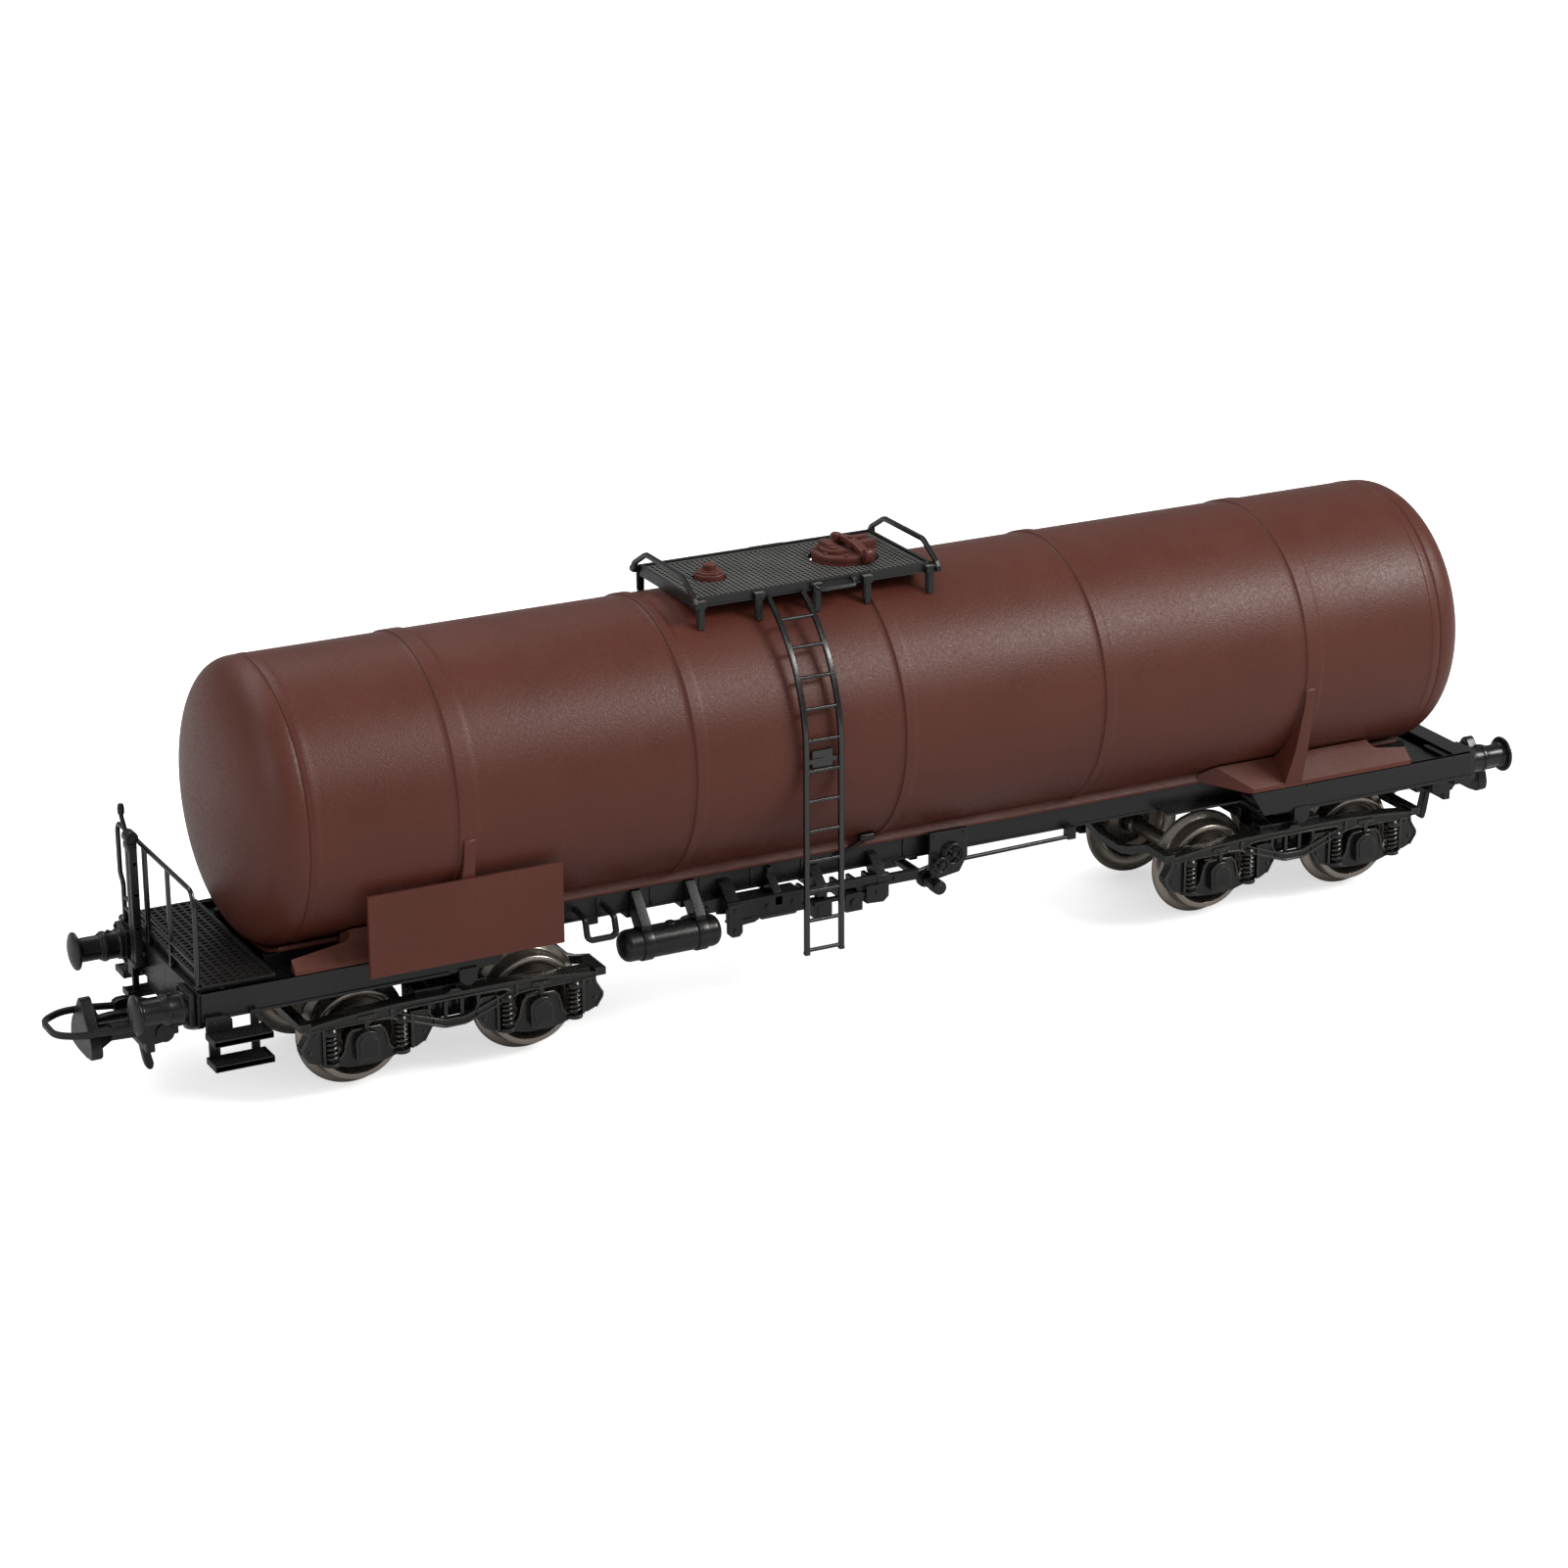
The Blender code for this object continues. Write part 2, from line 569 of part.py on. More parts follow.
def buffer(end, side):
    x, y, half = BEAM_X + 0.04, side * BUFFER_Y, BUFFER_PLATE_HALF
    plate = box(*span(end, x, x + 0.75), y - half, y + half, BUFFER_Z - half, BUFFER_Z + half)
    profile = [(0, x + 0.5), (1.35, x + 0.5), (1.35, x + 2.6), (1.1, x + 2.7),
               (1.1, BUFFER_X - 0.75), (BUFFER_RADIUS, BUFFER_X - 0.7),
               (BUFFER_RADIUS, BUFFER_X - 0.35), (1.3, BUFFER_X - 0.08), (0, BUFFER_X)]
    stem = turned([(radius, end * along) for radius, along in profile], "X", (0, y, BUFFER_Z), 12)
    return union(plate, stem)


for end, end_name in ENDS:
    for side, side_name in SIDES:
        piece(f"buffer_{end_name}_{side_name}", buffer(end, side), BLACK)

# ---------------------------------------------------------------- brake platform, left end
DECK_X0, DECK_Y = -80.7, 12.1
DECK_TOP = 16.2
RAIL_X = DECK_X0 - 0.35
RAIL_FOOT, RAIL_TOP = FRAME_TOP + 0.05, 26.9
COLUMN_X, COLUMN_Y = -82.15, 4.5
COLUMN_Z0 = 12.95
CRANK_Z = 27.85          # axis of the crank
STEP_Y0, STEP_Y1 = 13.25, 16.2


def platform():
    """Deck with a raised lip along its outer edge."""
    deck = box(DECK_X0, -72.5, -DECK_Y, DECK_Y, DECK_TOP - 0.4, DECK_TOP)
    lip = box(DECK_X0, DECK_X0 + 0.4, -DECK_Y, DECK_Y, DECK_TOP - 0.2, DECK_TOP + 0.35)
    return union(deck, lip)


def railing():
    """Square-section frame with two posts and two low rails, just outboard of the deck."""
    frame = [(-11.7, RAIL_FOOT), (-12.1, 25.4), (-11.4, RAIL_TOP),
             (11.4, RAIL_TOP), (12.1, 25.4), (11.7, RAIL_FOOT)]
    parts = [rod([(RAIL_X, y, z) for y, z in frame], rectangle(0.6, 0.6))]
    for y in (3.4, -3.9):
        parts.append(box(RAIL_X - 0.3, RAIL_X + 0.3, y - 0.45, y + 0.45, RAIL_FOOT, RAIL_TOP + 0.1))
    for z in (17.3, 18.6):
        parts.append(box(RAIL_X - 0.22, RAIL_X + 0.22, -11.8, 11.8, z - 0.22, z + 0.22))
    return union(*parts)


def brake_column():
    x, y = COLUMN_X, COLUMN_Y
    body = box(x - 0.55, x + 0.45, y - 0.7, y + 0.65, COLUMN_Z0, 27.0)
    cap = box(x - 0.62, x + 0.5, y - 0.85, y + 0.85, 26.5, 27.3)
    foot = box(x - 0.66, -81.45, y - 1.0, y + 0.95, COLUMN_Z0, 13.6)
    hub = cylinder(0.75, y - 0.75, y + 0.85, "Y", (x, 0, CRANK_Z), 12)
    return union(body, cap, foot, hub)


def brake_crank():
    # (distance beyond the middle of the column, z)
    path = [(0.9, CRANK_Z), (1.25, CRANK_Z), (2.6, 29.4), (2.6, 30.8)]
    return rod([(COLUMN_X, COLUMN_Y + dy, z) for dy, z in path], round_section(0.3))


def side_step(side):
    """Two treads with raised outer edges, on a pair of uprights."""
    parts = []
    for z in (8.6, 11.4):
        parts.append(box(-81.0, -74.4, *span(side, STEP_Y0, STEP_Y1), z - 0.55, z))
        parts.append(box(-81.0, -74.4, *span(side, STEP_Y1 - 0.35, STEP_Y1), z - 0.55, z + 0.35))
    for x in (-80.4, -75.6):
        parts.append(box(x - 0.5, x + 0.5, *span(side, STEP_Y0, STEP_Y0 + 0.5), 7.8, 14.6))
    return union(*parts)


def shunter_step():
    """Small tread on a stepped bracket below the headstock."""
    return union(box(-83.0, -79.0, 5.5, 7.6, 8.9, 9.5),
                 box(-82.4, -81.6, 5.8, 6.5, 9.2, 11.6),
                 box(-82.4, -81.45, 5.8, 7.4, 11.2, 12.9))


piece("brake_platform", platform(), BLACK)
piece("platform_railing", railing(), BLACK)
piece("brake_column", brake_column(), BLACK)
piece("brake_crank", brake_crank(), BLACK)
for side, side_name in SIDES:
    piece(f"step_left_{side_name}", side_step(side), BLACK)
piece("shunter_step", shunter_step(), BLACK)

# ---------------------------------------------------------------- gear beside and under the trough
RESERVOIR_X, RESERVOIR_Y, RESERVOIR_Z = -25.5, -10.4, 10.83
RESERVOIR_RADIUS = 1.85
STRAP_RADIUS = RESERVOIR_RADIUS + 0.2
STRAP_OFFSET = 3.35      # straps and hangers, from the middle of the reservoir
RESERVOIR_HALF = [       # (radius, along), left end to the inner edge of the left strap
    (0, -6.1), (1.1, -5.98), (RESERVOIR_RADIUS, -5.2),
    (RESERVOIR_RADIUS, -STRAP_OFFSET - 0.55), (STRAP_RADIUS, -STRAP_OFFSET - 0.5),
    (STRAP_RADIUS, -STRAP_OFFSET + 0.5), (RESERVOIR_RADIUS, -STRAP_OFFSET + 0.55),
]


def air_reservoir():
    drum = turned(mirrored(RESERVOIR_HALF), "X", (RESERVOIR_X, RESERVOIR_Y, RESERVOIR_Z), 12)
    hangers = [box(x - 0.4, x + 0.4, -11.0, -8.3, 11.6, 13.5)
               for x in (RESERVOIR_X - STRAP_OFFSET, RESERVOIR_X + STRAP_OFFSET)]
    return union(drum, *hangers)


BRAKE_GEAR_BOXES = (     # x0, x1, y0, y1, z0, z1
    (-18.4, 3.2, -10.9, -10.1, 11.5, 12.5),      # lengthwise beam
    (-18.6, -16.6, -11.2, -10.3, 9.8, 13.2),     # upright block at its left end
    (-16.6, -14.8, -11.0, -10.2, 10.9, 12.0),    # small block beside it
    (-7.6, -5.4, -11.2, -8.9, 9.9, 12.0),        # three blocks below the beam
    (-3.6, -1.4, -11.2, -8.9, 9.9, 12.2),
    (-1.0, 1.6, -11.2, -8.7, 10.8, 12.2),
    (3.0, 38.0, -10.6, -10.1, 11.8, 12.3),       # long rod
)
# (y, z) outlines of the arms that reach up to the trough
BEAM_HANGER = [(-10.9, 11.6), (-10.2, 11.6), (TROUGH_FACE_Y, 13.4), (TROUGH_FACE_Y, 14.6),
               (-8.7, 14.2)]
ROD_HANGER = [(-10.6, 11.9), (-10.1, 11.9), (TROUGH_FACE_Y, 14.0), (TROUGH_FACE_Y, 14.7),
              (-8.5, 14.5)]


def brake_gear():
    parts = [box(*extents) for extents in BRAKE_GEAR_BOXES]
    # tapered underside of the upright block
    taper = [(-18.6, 9.9), (-16.6, 9.9), (-17.1, 9.2), (-18.1, 9.2)]
    parts.append(prism(taper, "Y", -11.2, -10.3))
    parts += [prism(BEAM_HANGER, "X", x - 0.45, x + 0.45) for x in (-17.6, -6.5, 2.4)]
    parts.append(prism(ROD_HANGER, "X", 36.6, 37.4))
    return union(*parts)


def safety_loop():
    """U-shaped bar that hangs from the near side of the trough."""
    path = [(-35.9, -8.1, 14.9), (-35.9, -10.6, 14.4), (-35.6, -11.0, 12.5),
            (-32.4, -11.0, 12.3), (-32.2, -10.6, 14.2), (-32.2, -8.1, 14.8)]
    return rod(path, rectangle(0.55, 0.55))


piece("air_reservoir", air_reservoir(), BLACK)
piece("brake_gear", brake_gear(), BLACK)
piece("safety_loop", safety_loop(), BLACK)

PLATE_X0, PLATE_X1 = 8.2, 12.9
PLATE_Y = -9.7           # near face of the changeover plate
HANDWHEEL_Y = PLATE_Y - 0.45
HANDWHEELS = (           # name, x, z, radius
    ("large", 10.9, 14.5, 1.15),
    ("small", 9.1, 13.25, 0.9),
)


def changeover_plate():
    outline = [(PLATE_X0, 12.6), (PLATE_X0 + 0.5, 12.1), (PLATE_X1 - 1.3, 12.2),
               (PLATE_X1, 13.5), (PLATE_X1, 16.6), (PLATE_X0, 16.6)]
    plate = prism(outline, "Y", PLATE_Y, PLATE_Y + 0.6)
    bracket = box(9.6, 11.6, PLATE_Y + 0.4, TROUGH_FACE_Y, 14.6, 15.8)
    holes = [hole(0.34, PLATE_Y - 1, PLATE_Y + 0.4, "Y", (x, 0, z), 10)
             for _, x, z, _ in HANDWHEELS]
    return cut(union(plate, bracket), *holes)


def handwheel(x, z, radius):
    """Rim, hub with its stem, and two crossed bars for spokes."""
    centre = (x, HANDWHEEL_Y, z)
    bore = radius - 0.24
    rim = turned([(radius, -0.18), (radius, 0.18), (bore, 0.18), (bore, -0.18)],
                 "Y", centre, 12, ring=True)
    hub = cylinder(0.28, -0.25, 0.75, "Y", centre, 8)
    bars = []
    for degrees in (45, 135):
        dx = math.cos(math.radians(degrees)) * (radius - 0.1)
        dz = math.sin(math.radians(degrees)) * (radius - 0.1)
        path = [(x - dx, HANDWHEEL_Y, z - dz), (x + dx, HANDWHEEL_Y, z + dz)]
        bars.append(rod(path, rectangle(0.22, 0.26)))
    return union(rim, hub, *bars)


piece("changeover_plate", changeover_plate(), BLACK)
for size, x, z, radius in HANDWHEELS:
    piece(f"handwheel_{size}", handwheel(x, z, radius), BLACK)

PIPE_X, PIPE_Z = 8.3, 11.0
PIPE_HALF = [            # (radius, along), near end to the inner edge of the near collar
    (0, -12.4), (0.82, -12.4), (0.82, -10.9), (0.62, -10.8),
    (0.62, -9.0), (1.05, -8.95), (1.05, -8.3), (0.62, -8.25),
]


def discharge_pipe():
    """Pipe across the wagon with a valve block at its middle."""
    pipe = turned(mirrored(PIPE_HALF), "Y", (PIPE_X, 0, PIPE_Z), 10)
    return union(pipe, box(PIPE_X - 1.2, PIPE_X + 1.2, -1.2, 1.2, 10.0, 12.8))


def valve_lever():
    arm = rod([(-0.2, -8.35, 14.6), (0.1, -9.2, 16.2), (0.5, -9.9, 18.0)], round_section(0.26))
    return union(arm, cylinder(0.55, -1.1, 1.1, "X", (0.5, -9.95, 18.2), 10))


piece("discharge_pipe", discharge_pipe(), BLACK)
piece("valve_lever", valve_lever(), BLACK)


# ---------------------------------------------------------------- hidden pieces
def ballast_weight():
    return box(-43.0, 47.0, -7.9, 7.9, 18.75, 26.0)


def bogie_screw(x):
    profile = [(0, 8.9), (2.0, 8.9), (2.0, 9.9), (1.0, 9.95), (1.0, 13.9), (0, 13.9)]
    return turned(profile, "Z", (x, 0, 0), 14)


piece("ballast_weight", ballast_weight(), BALLAST)
for x, (_, end_name) in zip(BOGIE_X, ENDS):
    piece(f"bogie_screw_{end_name}", bogie_screw(x), AXLE_STEEL)

# ---------------------------------------------------------------- bogies, drawn about x = 0
BOGIE_JOINT_Z = 10.0
AXLE_OFFSETS = (-WHEELBASE / 2, WHEELBASE / 2)
WEB_Y0, WEB_Y1 = 11.55, 12.55         # inner and outer faces of a side frame
# (x, z) outlines of a side frame
WEB_TOP = [(-16.9, 9.55), (-11.0, 10.15), (-6.0, 10.35), (0, 10.3), (6.0, 10.35),
           (11.0, 10.15), (16.9, 9.55)]
WEB_BOTTOM = [(16.9, 8.75), (8.6, 8.8), (6.6, 8.4), (3.4, 7.0), (1.0, 6.4),
              (-1.0, 6.4), (-3.4, 7.0), (-6.6, 8.4), (-8.6, 8.8), (-16.9, 8.75)]
WINDOW = [(-5.6, 8.9), (-3.0, 7.75), (3.0, 7.75), (5.6, 8.9), (5.6, 9.4), (-5.6, 9.4)]
# (distance from the axle, z)
PEDESTAL = [(5.15, 8.9), (6.9, 8.9), (7.7, 7.2), (7.6, 6.1), (6.5, 4.4), (5.15, 4.3)]
AXLEBOX = [(-1.55, 4.5), (1.55, 4.5), (1.45, 7.4), (0.9, 8.0), (-0.9, 8.0), (-1.45, 7.4)]
AXLEBOX_SADDLE = [(-5.4, 4.9), (-5.4, 4.35), (-1.2, 3.75), (1.2, 3.75),
                  (5.4, 4.35), (5.4, 4.9), (1.4, 5.0), (-1.4, 5.0)]
SPRING_OFFSET, SPRING_HALF_WIDTH = 3.95, 0.85


def side_frame(side):
    """Parts of one bogie side: fish-bellied web with a barred window, pedestals and axleboxes."""
    def plate(outline, y0, y1):
        return prism(outline, "Y", *span(side, y0, y1))

    parts = [cut(plate(WEB_TOP + WEB_BOTTOM, WEB_Y0, WEB_Y1), plate(WINDOW, 11.0, 13.2))]
    parts += [box(x - 0.25, x + 0.25, *span(side, WEB_Y0 + 0.1, WEB_Y1 - 0.3), 7.5, 9.6)
              for x in (-2.2, 0.0, 2.2)]
    flange = WEB_TOP + [(x, z - 0.3) for x, z in reversed(WEB_TOP)]
    parts.append(plate(flange, WEB_Y0 - 0.4, WEB_Y1 + 0.3))
    for axle_x in AXLE_OFFSETS:
        for way in (-1, 1):
            pedestal = [(axle_x + way * offset, z) for offset, z in PEDESTAL]
            parts.append(plate(pedestal, WEB_Y0, WEB_Y1 - 0.15))
            spring_x = axle_x + way * SPRING_OFFSET
            parts.append(box(spring_x - SPRING_HALF_WIDTH, spring_x + SPRING_HALF_WIDTH,
                             *span(side, 10.9, 12.3), 4.6, 9.0))
        parts.append(plate([(axle_x + dx, z) for dx, z in AXLEBOX], 11.6, 13.15))
        parts.append(plate([(axle_x + dx, z) for dx, z in AXLEBOX_SADDLE], 11.35, 12.5))
    return parts


def bogie_frame():
    parts = side_frame(-1) + side_frame(1)
    # bolster and centre plate
    parts.append(box(-2.6, 2.6, -11.8, 11.8, 9.6, 11.6))
    parts.append(cylinder(3.4, 10.0, 12.65, "Z", (0, 0, 0), 12))
    # end beams
    parts += [box(x - 0.65, x + 0.65, -12.6, 12.6, 9.0, 9.9) for x in (-17.35, 17.35)]
    # side bearer blocks
    bearer = [(-0.9, 11.4), (0.9, 11.4), (1.4, 12.5), (-1.4, 12.5)]
    parts += [prism(bearer, "Y", *span(side, 8.6, 10.2)) for side, _ in SIDES]
    # screw hole with a recess for its head, and cup bearings for the pointed axle ends
    cutters = [hole(1.2, 8.0, 13.2, "Z", (0, 0, 0), 10), hole(2.3, 8.0, 10.0, "Z", (0, 0, 0), 10)]
    for axle_x in AXLE_OFFSETS:
        for side, _ in SIDES:
            cup = [(0.62, side * 10.9), (0.62, side * 11.95), (0.0, side * 12.65)]
            cutters.append(turned(cup, "Y", (axle_x, 0, AXLE_Z), 8))
    return cut(union(*parts), *cutters)


def wheel(x, side):
    """Steel wheel: flange on the inner face, coned tread, dished web."""
    inner, outer = WHEEL_INNER_Y, WHEEL_OUTER_Y
    profile = [(1.02, inner + 0.3), (2.2, inner + 0.45), (4.3, inner + 0.3),
               (FLANGE_RADIUS - 0.3, inner), (FLANGE_RADIUS, inner + 0.4),
               (TREAD_RADIUS + 0.1, inner + 0.95), (TREAD_RADIUS - 0.1, outer), (4.4, outer),
               (2.2, outer - 0.8), (1.02, outer - 0.5)]
    profile = [(radius, side * along) for radius, along in profile]
    return turned(profile, "Y", (x, 0, AXLE_Z), 20, ring=True)


def axle(x):
    """Axle with pointed ends."""
    half = [(0.0, -12.45), (0.5, -11.75), (0.98, -11.0), (0.98, -7.0), (0.95, -6.9)]
    return turned(mirrored(half), "Y", (x, 0, AXLE_Z), 10)


def place_bogie(x, end, end_name):
    at = (x, 0, BOGIE_JOINT_Z)
    frame = bogie_frame()
    frame.transform(Matrix.Translation((x, 0, 0)))
    piece(f"bogie_frame_{end_name}", frame, BLACK, at, joint(f"joint_bogie_{end_name}", at))
    for way, which in ((-end, "inner"), (end, "outer")):
        axle_x = x + way * WHEELBASE / 2
        at = (axle_x, 0, AXLE_Z)
        spin = joint(f"joint_axle_{end_name}_{which}", at)
        piece(f"axle_{end_name}_{which}", axle(axle_x), AXLE_STEEL, at, spin)
        for side, side_name in SIDES:
            piece(f"wheel_{end_name}_{which}_{side_name}", wheel(axle_x, side), WHEEL_METAL,
                  at, spin)


for x, (end, end_name) in zip(BOGIE_X, ENDS):
    place_bogie(x, end, end_name)

# ---------------------------------------------------------------- couplers, drawn for the left end
COUPLER_Z = 8.6          # height of the coupler joint
DRAWBAR_Z = (7.55, 9.7)
COUPLER_FACE = [         # (y, z)
    (-3.45, 9.4), (-3.45, 6.9), (-1.6, 5.45), (1.6, 5.45), (3.45, 6.9),
    (3.45, 9.4), (1.9, 10.5), (0.75, 12.5), (-0.75, 12.5), (-1.9, 10.5),
]
LOOP_BAR_Y, LOOP_BAR_Z = 4.1, 10.5
CHEEK = [                # (x, z)
    (-81.2, 7.6), (-84.6, 7.3), (-86.4, 9.9), (-86.4, 11.9),
    (-85.6, 12.6), (-84.9, 11.6), (-83.6, 9.9), (-81.2, 9.4),
]
LOOP_TAIL = [(-84.4, 5.8), (-83.7, 5.8), (-83.1, 3.6), (-83.5, 2.9), (-84.2, 3.2)]    # (x, z)


def drawbar():
    """Bar with a round eye at the pivot, a face plate at the tip and trunnions for the loop."""
    pivot = (-COUPLER_X, 0, 0)
    body = union(
        cylinder(1.9, *DRAWBAR_Z, "Z", pivot, 12),
        box(-84.4, -COUPLER_X, -1.6, 1.6, *DRAWBAR_Z),
        box(-84.2, -80.3, -2.75, 2.75, 7.2, 9.9),
        box(-89.2, -84.0, -1.5, 1.5, 7.3, 9.7),
        prism(COUPLER_FACE, "X", -90.4, -89.0),
        cylinder(0.42, -4.4, 4.4, "Y", (-LOOP_X, 0, LOOP_Z), 12),
    )
    return cut(body, hole(0.86, 7.0, 10.0, "Z", pivot, 14))


def coupler_loop():
    """Bent bar between two cheeks, which a low crossbar with a tail joins."""
    y = LOOP_BAR_Y
    bar = [(-85.0, -y), (-92.6, -y), (-94.0, -y + 1.5), (-94.0, y - 1.5), (-92.6, y), (-85.0, y)]
    parts = [rod([(x, y, LOOP_BAR_Z) for x, y in bar], rectangle(0.62, 0.8))]
    parts += [prism(CHEEK, "Y", *span(side, 3.0, 4.2)) for side, _ in SIDES]
    parts.append(box(-84.6, -83.6, -3.9, 3.9, 5.3, 6.1))
    parts += [box(-84.7, -83.5, *span(side, 3.05, 4.1), 5.3, 8.0) for side, _ in SIDES]
    parts.append(prism(LOOP_TAIL, "Y", -0.75, 0.75))
    return cut(union(*parts), hole(0.5, -4.9, 4.9, "Y", (-LOOP_X, 0, LOOP_Z), 12))


def coupler_pin():
    profile = [(0, 6.7), (1.3, 6.7), (1.3, 7.4), (0.75, 7.45), (0.75, 11.2), (0, 11.2)]
    return turned(profile, "Z", (-COUPLER_X, 0, 0), 12)


def place_coupler(end, end_name):
    bar, loop, pin = drawbar(), coupler_loop(), coupler_pin()
    if end > 0:
        for mesh in (bar, loop, pin):
            mesh.transform(Matrix.Rotation(math.pi, 4, "Z"))
    pivot_at = (end * COUPLER_X, 0, COUPLER_Z)
    lift_at = (end * LOOP_X, 0, LOOP_Z)
    pivot = joint(f"joint_coupler_{end_name}", pivot_at)
    lift = joint(f"joint_loop_{end_name}", lift_at)
    piece(f"drawbar_{end_name}", bar, BLACK, pivot_at, pivot)
    piece(f"coupler_loop_{end_name}", loop, BLACK, lift_at, lift)
    piece(f"coupler_pin_{end_name}", pin, AXLE_STEEL)


for end, end_name in ENDS:
    place_coupler(end, end_name)
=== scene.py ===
# A model railway tank wagon on two four-wheel bogies, with a brake platform at its left end.
# Everything is drawn in millimetres in the wagon's own frame and scaled to metres when shown.
# +X runs to the plain (right) end, -X to the brake platform (left), -Y is the near side and
# Z = 0 is the plane the wheels stand on.
import math

import bmesh
import bpy
from mathutils import Matrix, Vector


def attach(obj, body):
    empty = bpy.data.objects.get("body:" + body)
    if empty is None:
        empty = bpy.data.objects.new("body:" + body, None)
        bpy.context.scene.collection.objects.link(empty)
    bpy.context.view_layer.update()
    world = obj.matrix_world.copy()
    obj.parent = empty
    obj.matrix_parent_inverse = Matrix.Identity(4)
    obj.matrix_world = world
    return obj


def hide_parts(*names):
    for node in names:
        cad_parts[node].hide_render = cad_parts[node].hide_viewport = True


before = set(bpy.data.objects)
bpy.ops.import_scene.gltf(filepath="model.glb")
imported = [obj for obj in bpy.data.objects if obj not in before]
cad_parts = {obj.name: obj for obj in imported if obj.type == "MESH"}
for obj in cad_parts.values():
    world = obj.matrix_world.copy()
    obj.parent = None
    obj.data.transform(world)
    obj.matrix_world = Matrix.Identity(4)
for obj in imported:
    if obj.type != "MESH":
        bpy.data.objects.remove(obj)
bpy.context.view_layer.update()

MM = 0.001
ENDS = ((-1, "left"), (1, "right"))
SIDES = ((-1, "near"), (1, "far"))

# Tank: axis, radius, wall, half length to the seams, depth and roundness of the domed heads
TANK_X, TANK_Z, TANK_R, SHELL = 2.05, 31.3, 15.85, 0.85
SEAM, DOME, DOME_POWER = 71.3, 5.85, 2.5
RIB_PITCH, BAND_REACH = 25.85, 53.5

# Bogies: pivots, side bearers of the frame, axle spacing, axle height, back face of the wheels
PIVOTS = {"left": -52.3, "right": TANK_X + 53.8}
BEARERS = (-50.85, 56.4)
WHEELBASE, AXLE_Z, BACK = 20.5, 6.38, 7.2

# Frame: buffers, headstocks and solebars
BUFFER_X, BUFFER_Y, BUFFER_Z = 88.0, 10.05, 13.63
BEAM_X, BEAM_Z0, BEAM_Z1 = 81.4, 11.7, 15.75
FRAME_Z0, FRAME_Z1 = 12.7, 15.75
DECK_Z = 16.2

# Roof: walkway edges, the sunk deck inside them, and the fittings that pass through it
WALK_X0, WALK_X1, WALK_Y, WALK_Z = -20.15, 9.35, 7.4, 48.65
WALK_DECK_Z = WALK_Z - 0.28
HATCH_X, VALVE_X = 2.0, -14.9

# Couplers: swivel pin and the loop's cross pin, as distances from the middle
COUPLER_X, LOOP_X, LOOP_Z = 77.6, 82.4, 8.4


# ---------------------------------------------------------------- mesh helpers
def mesh_of(points, faces):
    bm = bmesh.new()
    verts = [bm.verts.new(p) for p in points]
    for face in faces:
        bm.faces.new([verts[i] for i in face])
    bmesh.ops.recalc_face_normals(bm, faces=bm.faces)
    mesh = bpy.data.meshes.new("shape")
    bm.to_mesh(mesh)
    bm.free()
    return mesh


def bevelled(mesh, width, seg=2, angle=25):
    """Rounds every edge sharper than the angle, in degrees."""
    bm = bmesh.new()
    bm.from_mesh(mesh)
    bmesh.ops.remove_doubles(bm, verts=bm.verts, dist=1e-4)
    bmesh.ops.dissolve_limit(bm, angle_limit=math.radians(0.3), verts=bm.verts, edges=bm.edges)
    edges = [e for e in bm.edges
             if len(e.link_faces) == 2 and e.calc_face_angle(0.0) > math.radians(angle)]
    if edges:
        bmesh.ops.bevel(bm, geom=edges, offset=width, offset_type="OFFSET", segments=seg,
                        profile=0.5, clamp_overlap=True, affect="EDGES")
    bm.to_mesh(mesh)
    bm.free()
    return mesh


def box(x0, x1, y0, y1, z0, z1, edge=0.07):
    """A block with rounded edges; each pair of limits may come in either order."""
    x0, x1 = sorted((x0, x1))
    y0, y1 = sorted((y0, y1))
    z0, z1 = sorted((z0, z1))
    corners = [(x, y, z) for z in (z0, z1) for y in (y0, y1) for x in (x0, x1)]
    mesh = mesh_of(corners, [(0, 1, 3, 2), (4, 6, 7, 5), (0, 4, 5, 1),
                             (2, 3, 7, 6), (0, 2, 6, 4), (1, 5, 7, 3)])
    return bevelled(mesh, min(edge, 0.3 * min(x1 - x0, y1 - y0, z1 - z0)))


def boxes(rows, side=1, end=1):
    """Blocks from rows of x0, x1, y0, y1, z0, z1 and maybe edge; side flips Y and end flips X."""
    return [box(end * x0, end * x1, side * y0, side * y1, *rest) for x0, x1, y0, y1, *rest in rows]


def place(outline, shift=0.0, flip=1):
    """Moves, and maybe mirrors, an outline along its first coordinate."""
    return [(shift + flip * u, v) for u, v in outline]


def prism(outline, axis, start, stop, edge=0.07, seg=2, angle=25):
    """Extrudes an outline: its points are (y, z) for axis X, (x, z) for Y and (x, y) for Z."""
    def point(u, v, along):
        return {"X": (along, u, v), "Y": (u, along, v), "Z": (u, v, along)}[axis]
    n = len(outline)
    points = [point(*p, start) for p in outline] + [point(*p, stop) for p in outline]
    faces = [tuple(range(n)), tuple(range(2 * n - 1, n - 1, -1))]
    faces += [(i, (i + 1) % n, (i + 1) % n + n, i + n) for i in range(n)]
    mesh = mesh_of(points, faces)
    edge = min(edge, 0.3 * abs(stop - start))
    return bevelled(mesh, edge, seg, angle) if edge > 0 else mesh


def rib(outline, x, half, side=1, edge=0.07):
    """A (y, z) outline, y outwards on the given side, as a plate centred on x."""
    return prism(place(outline, flip=side), "X", x - half, x + half, edge)


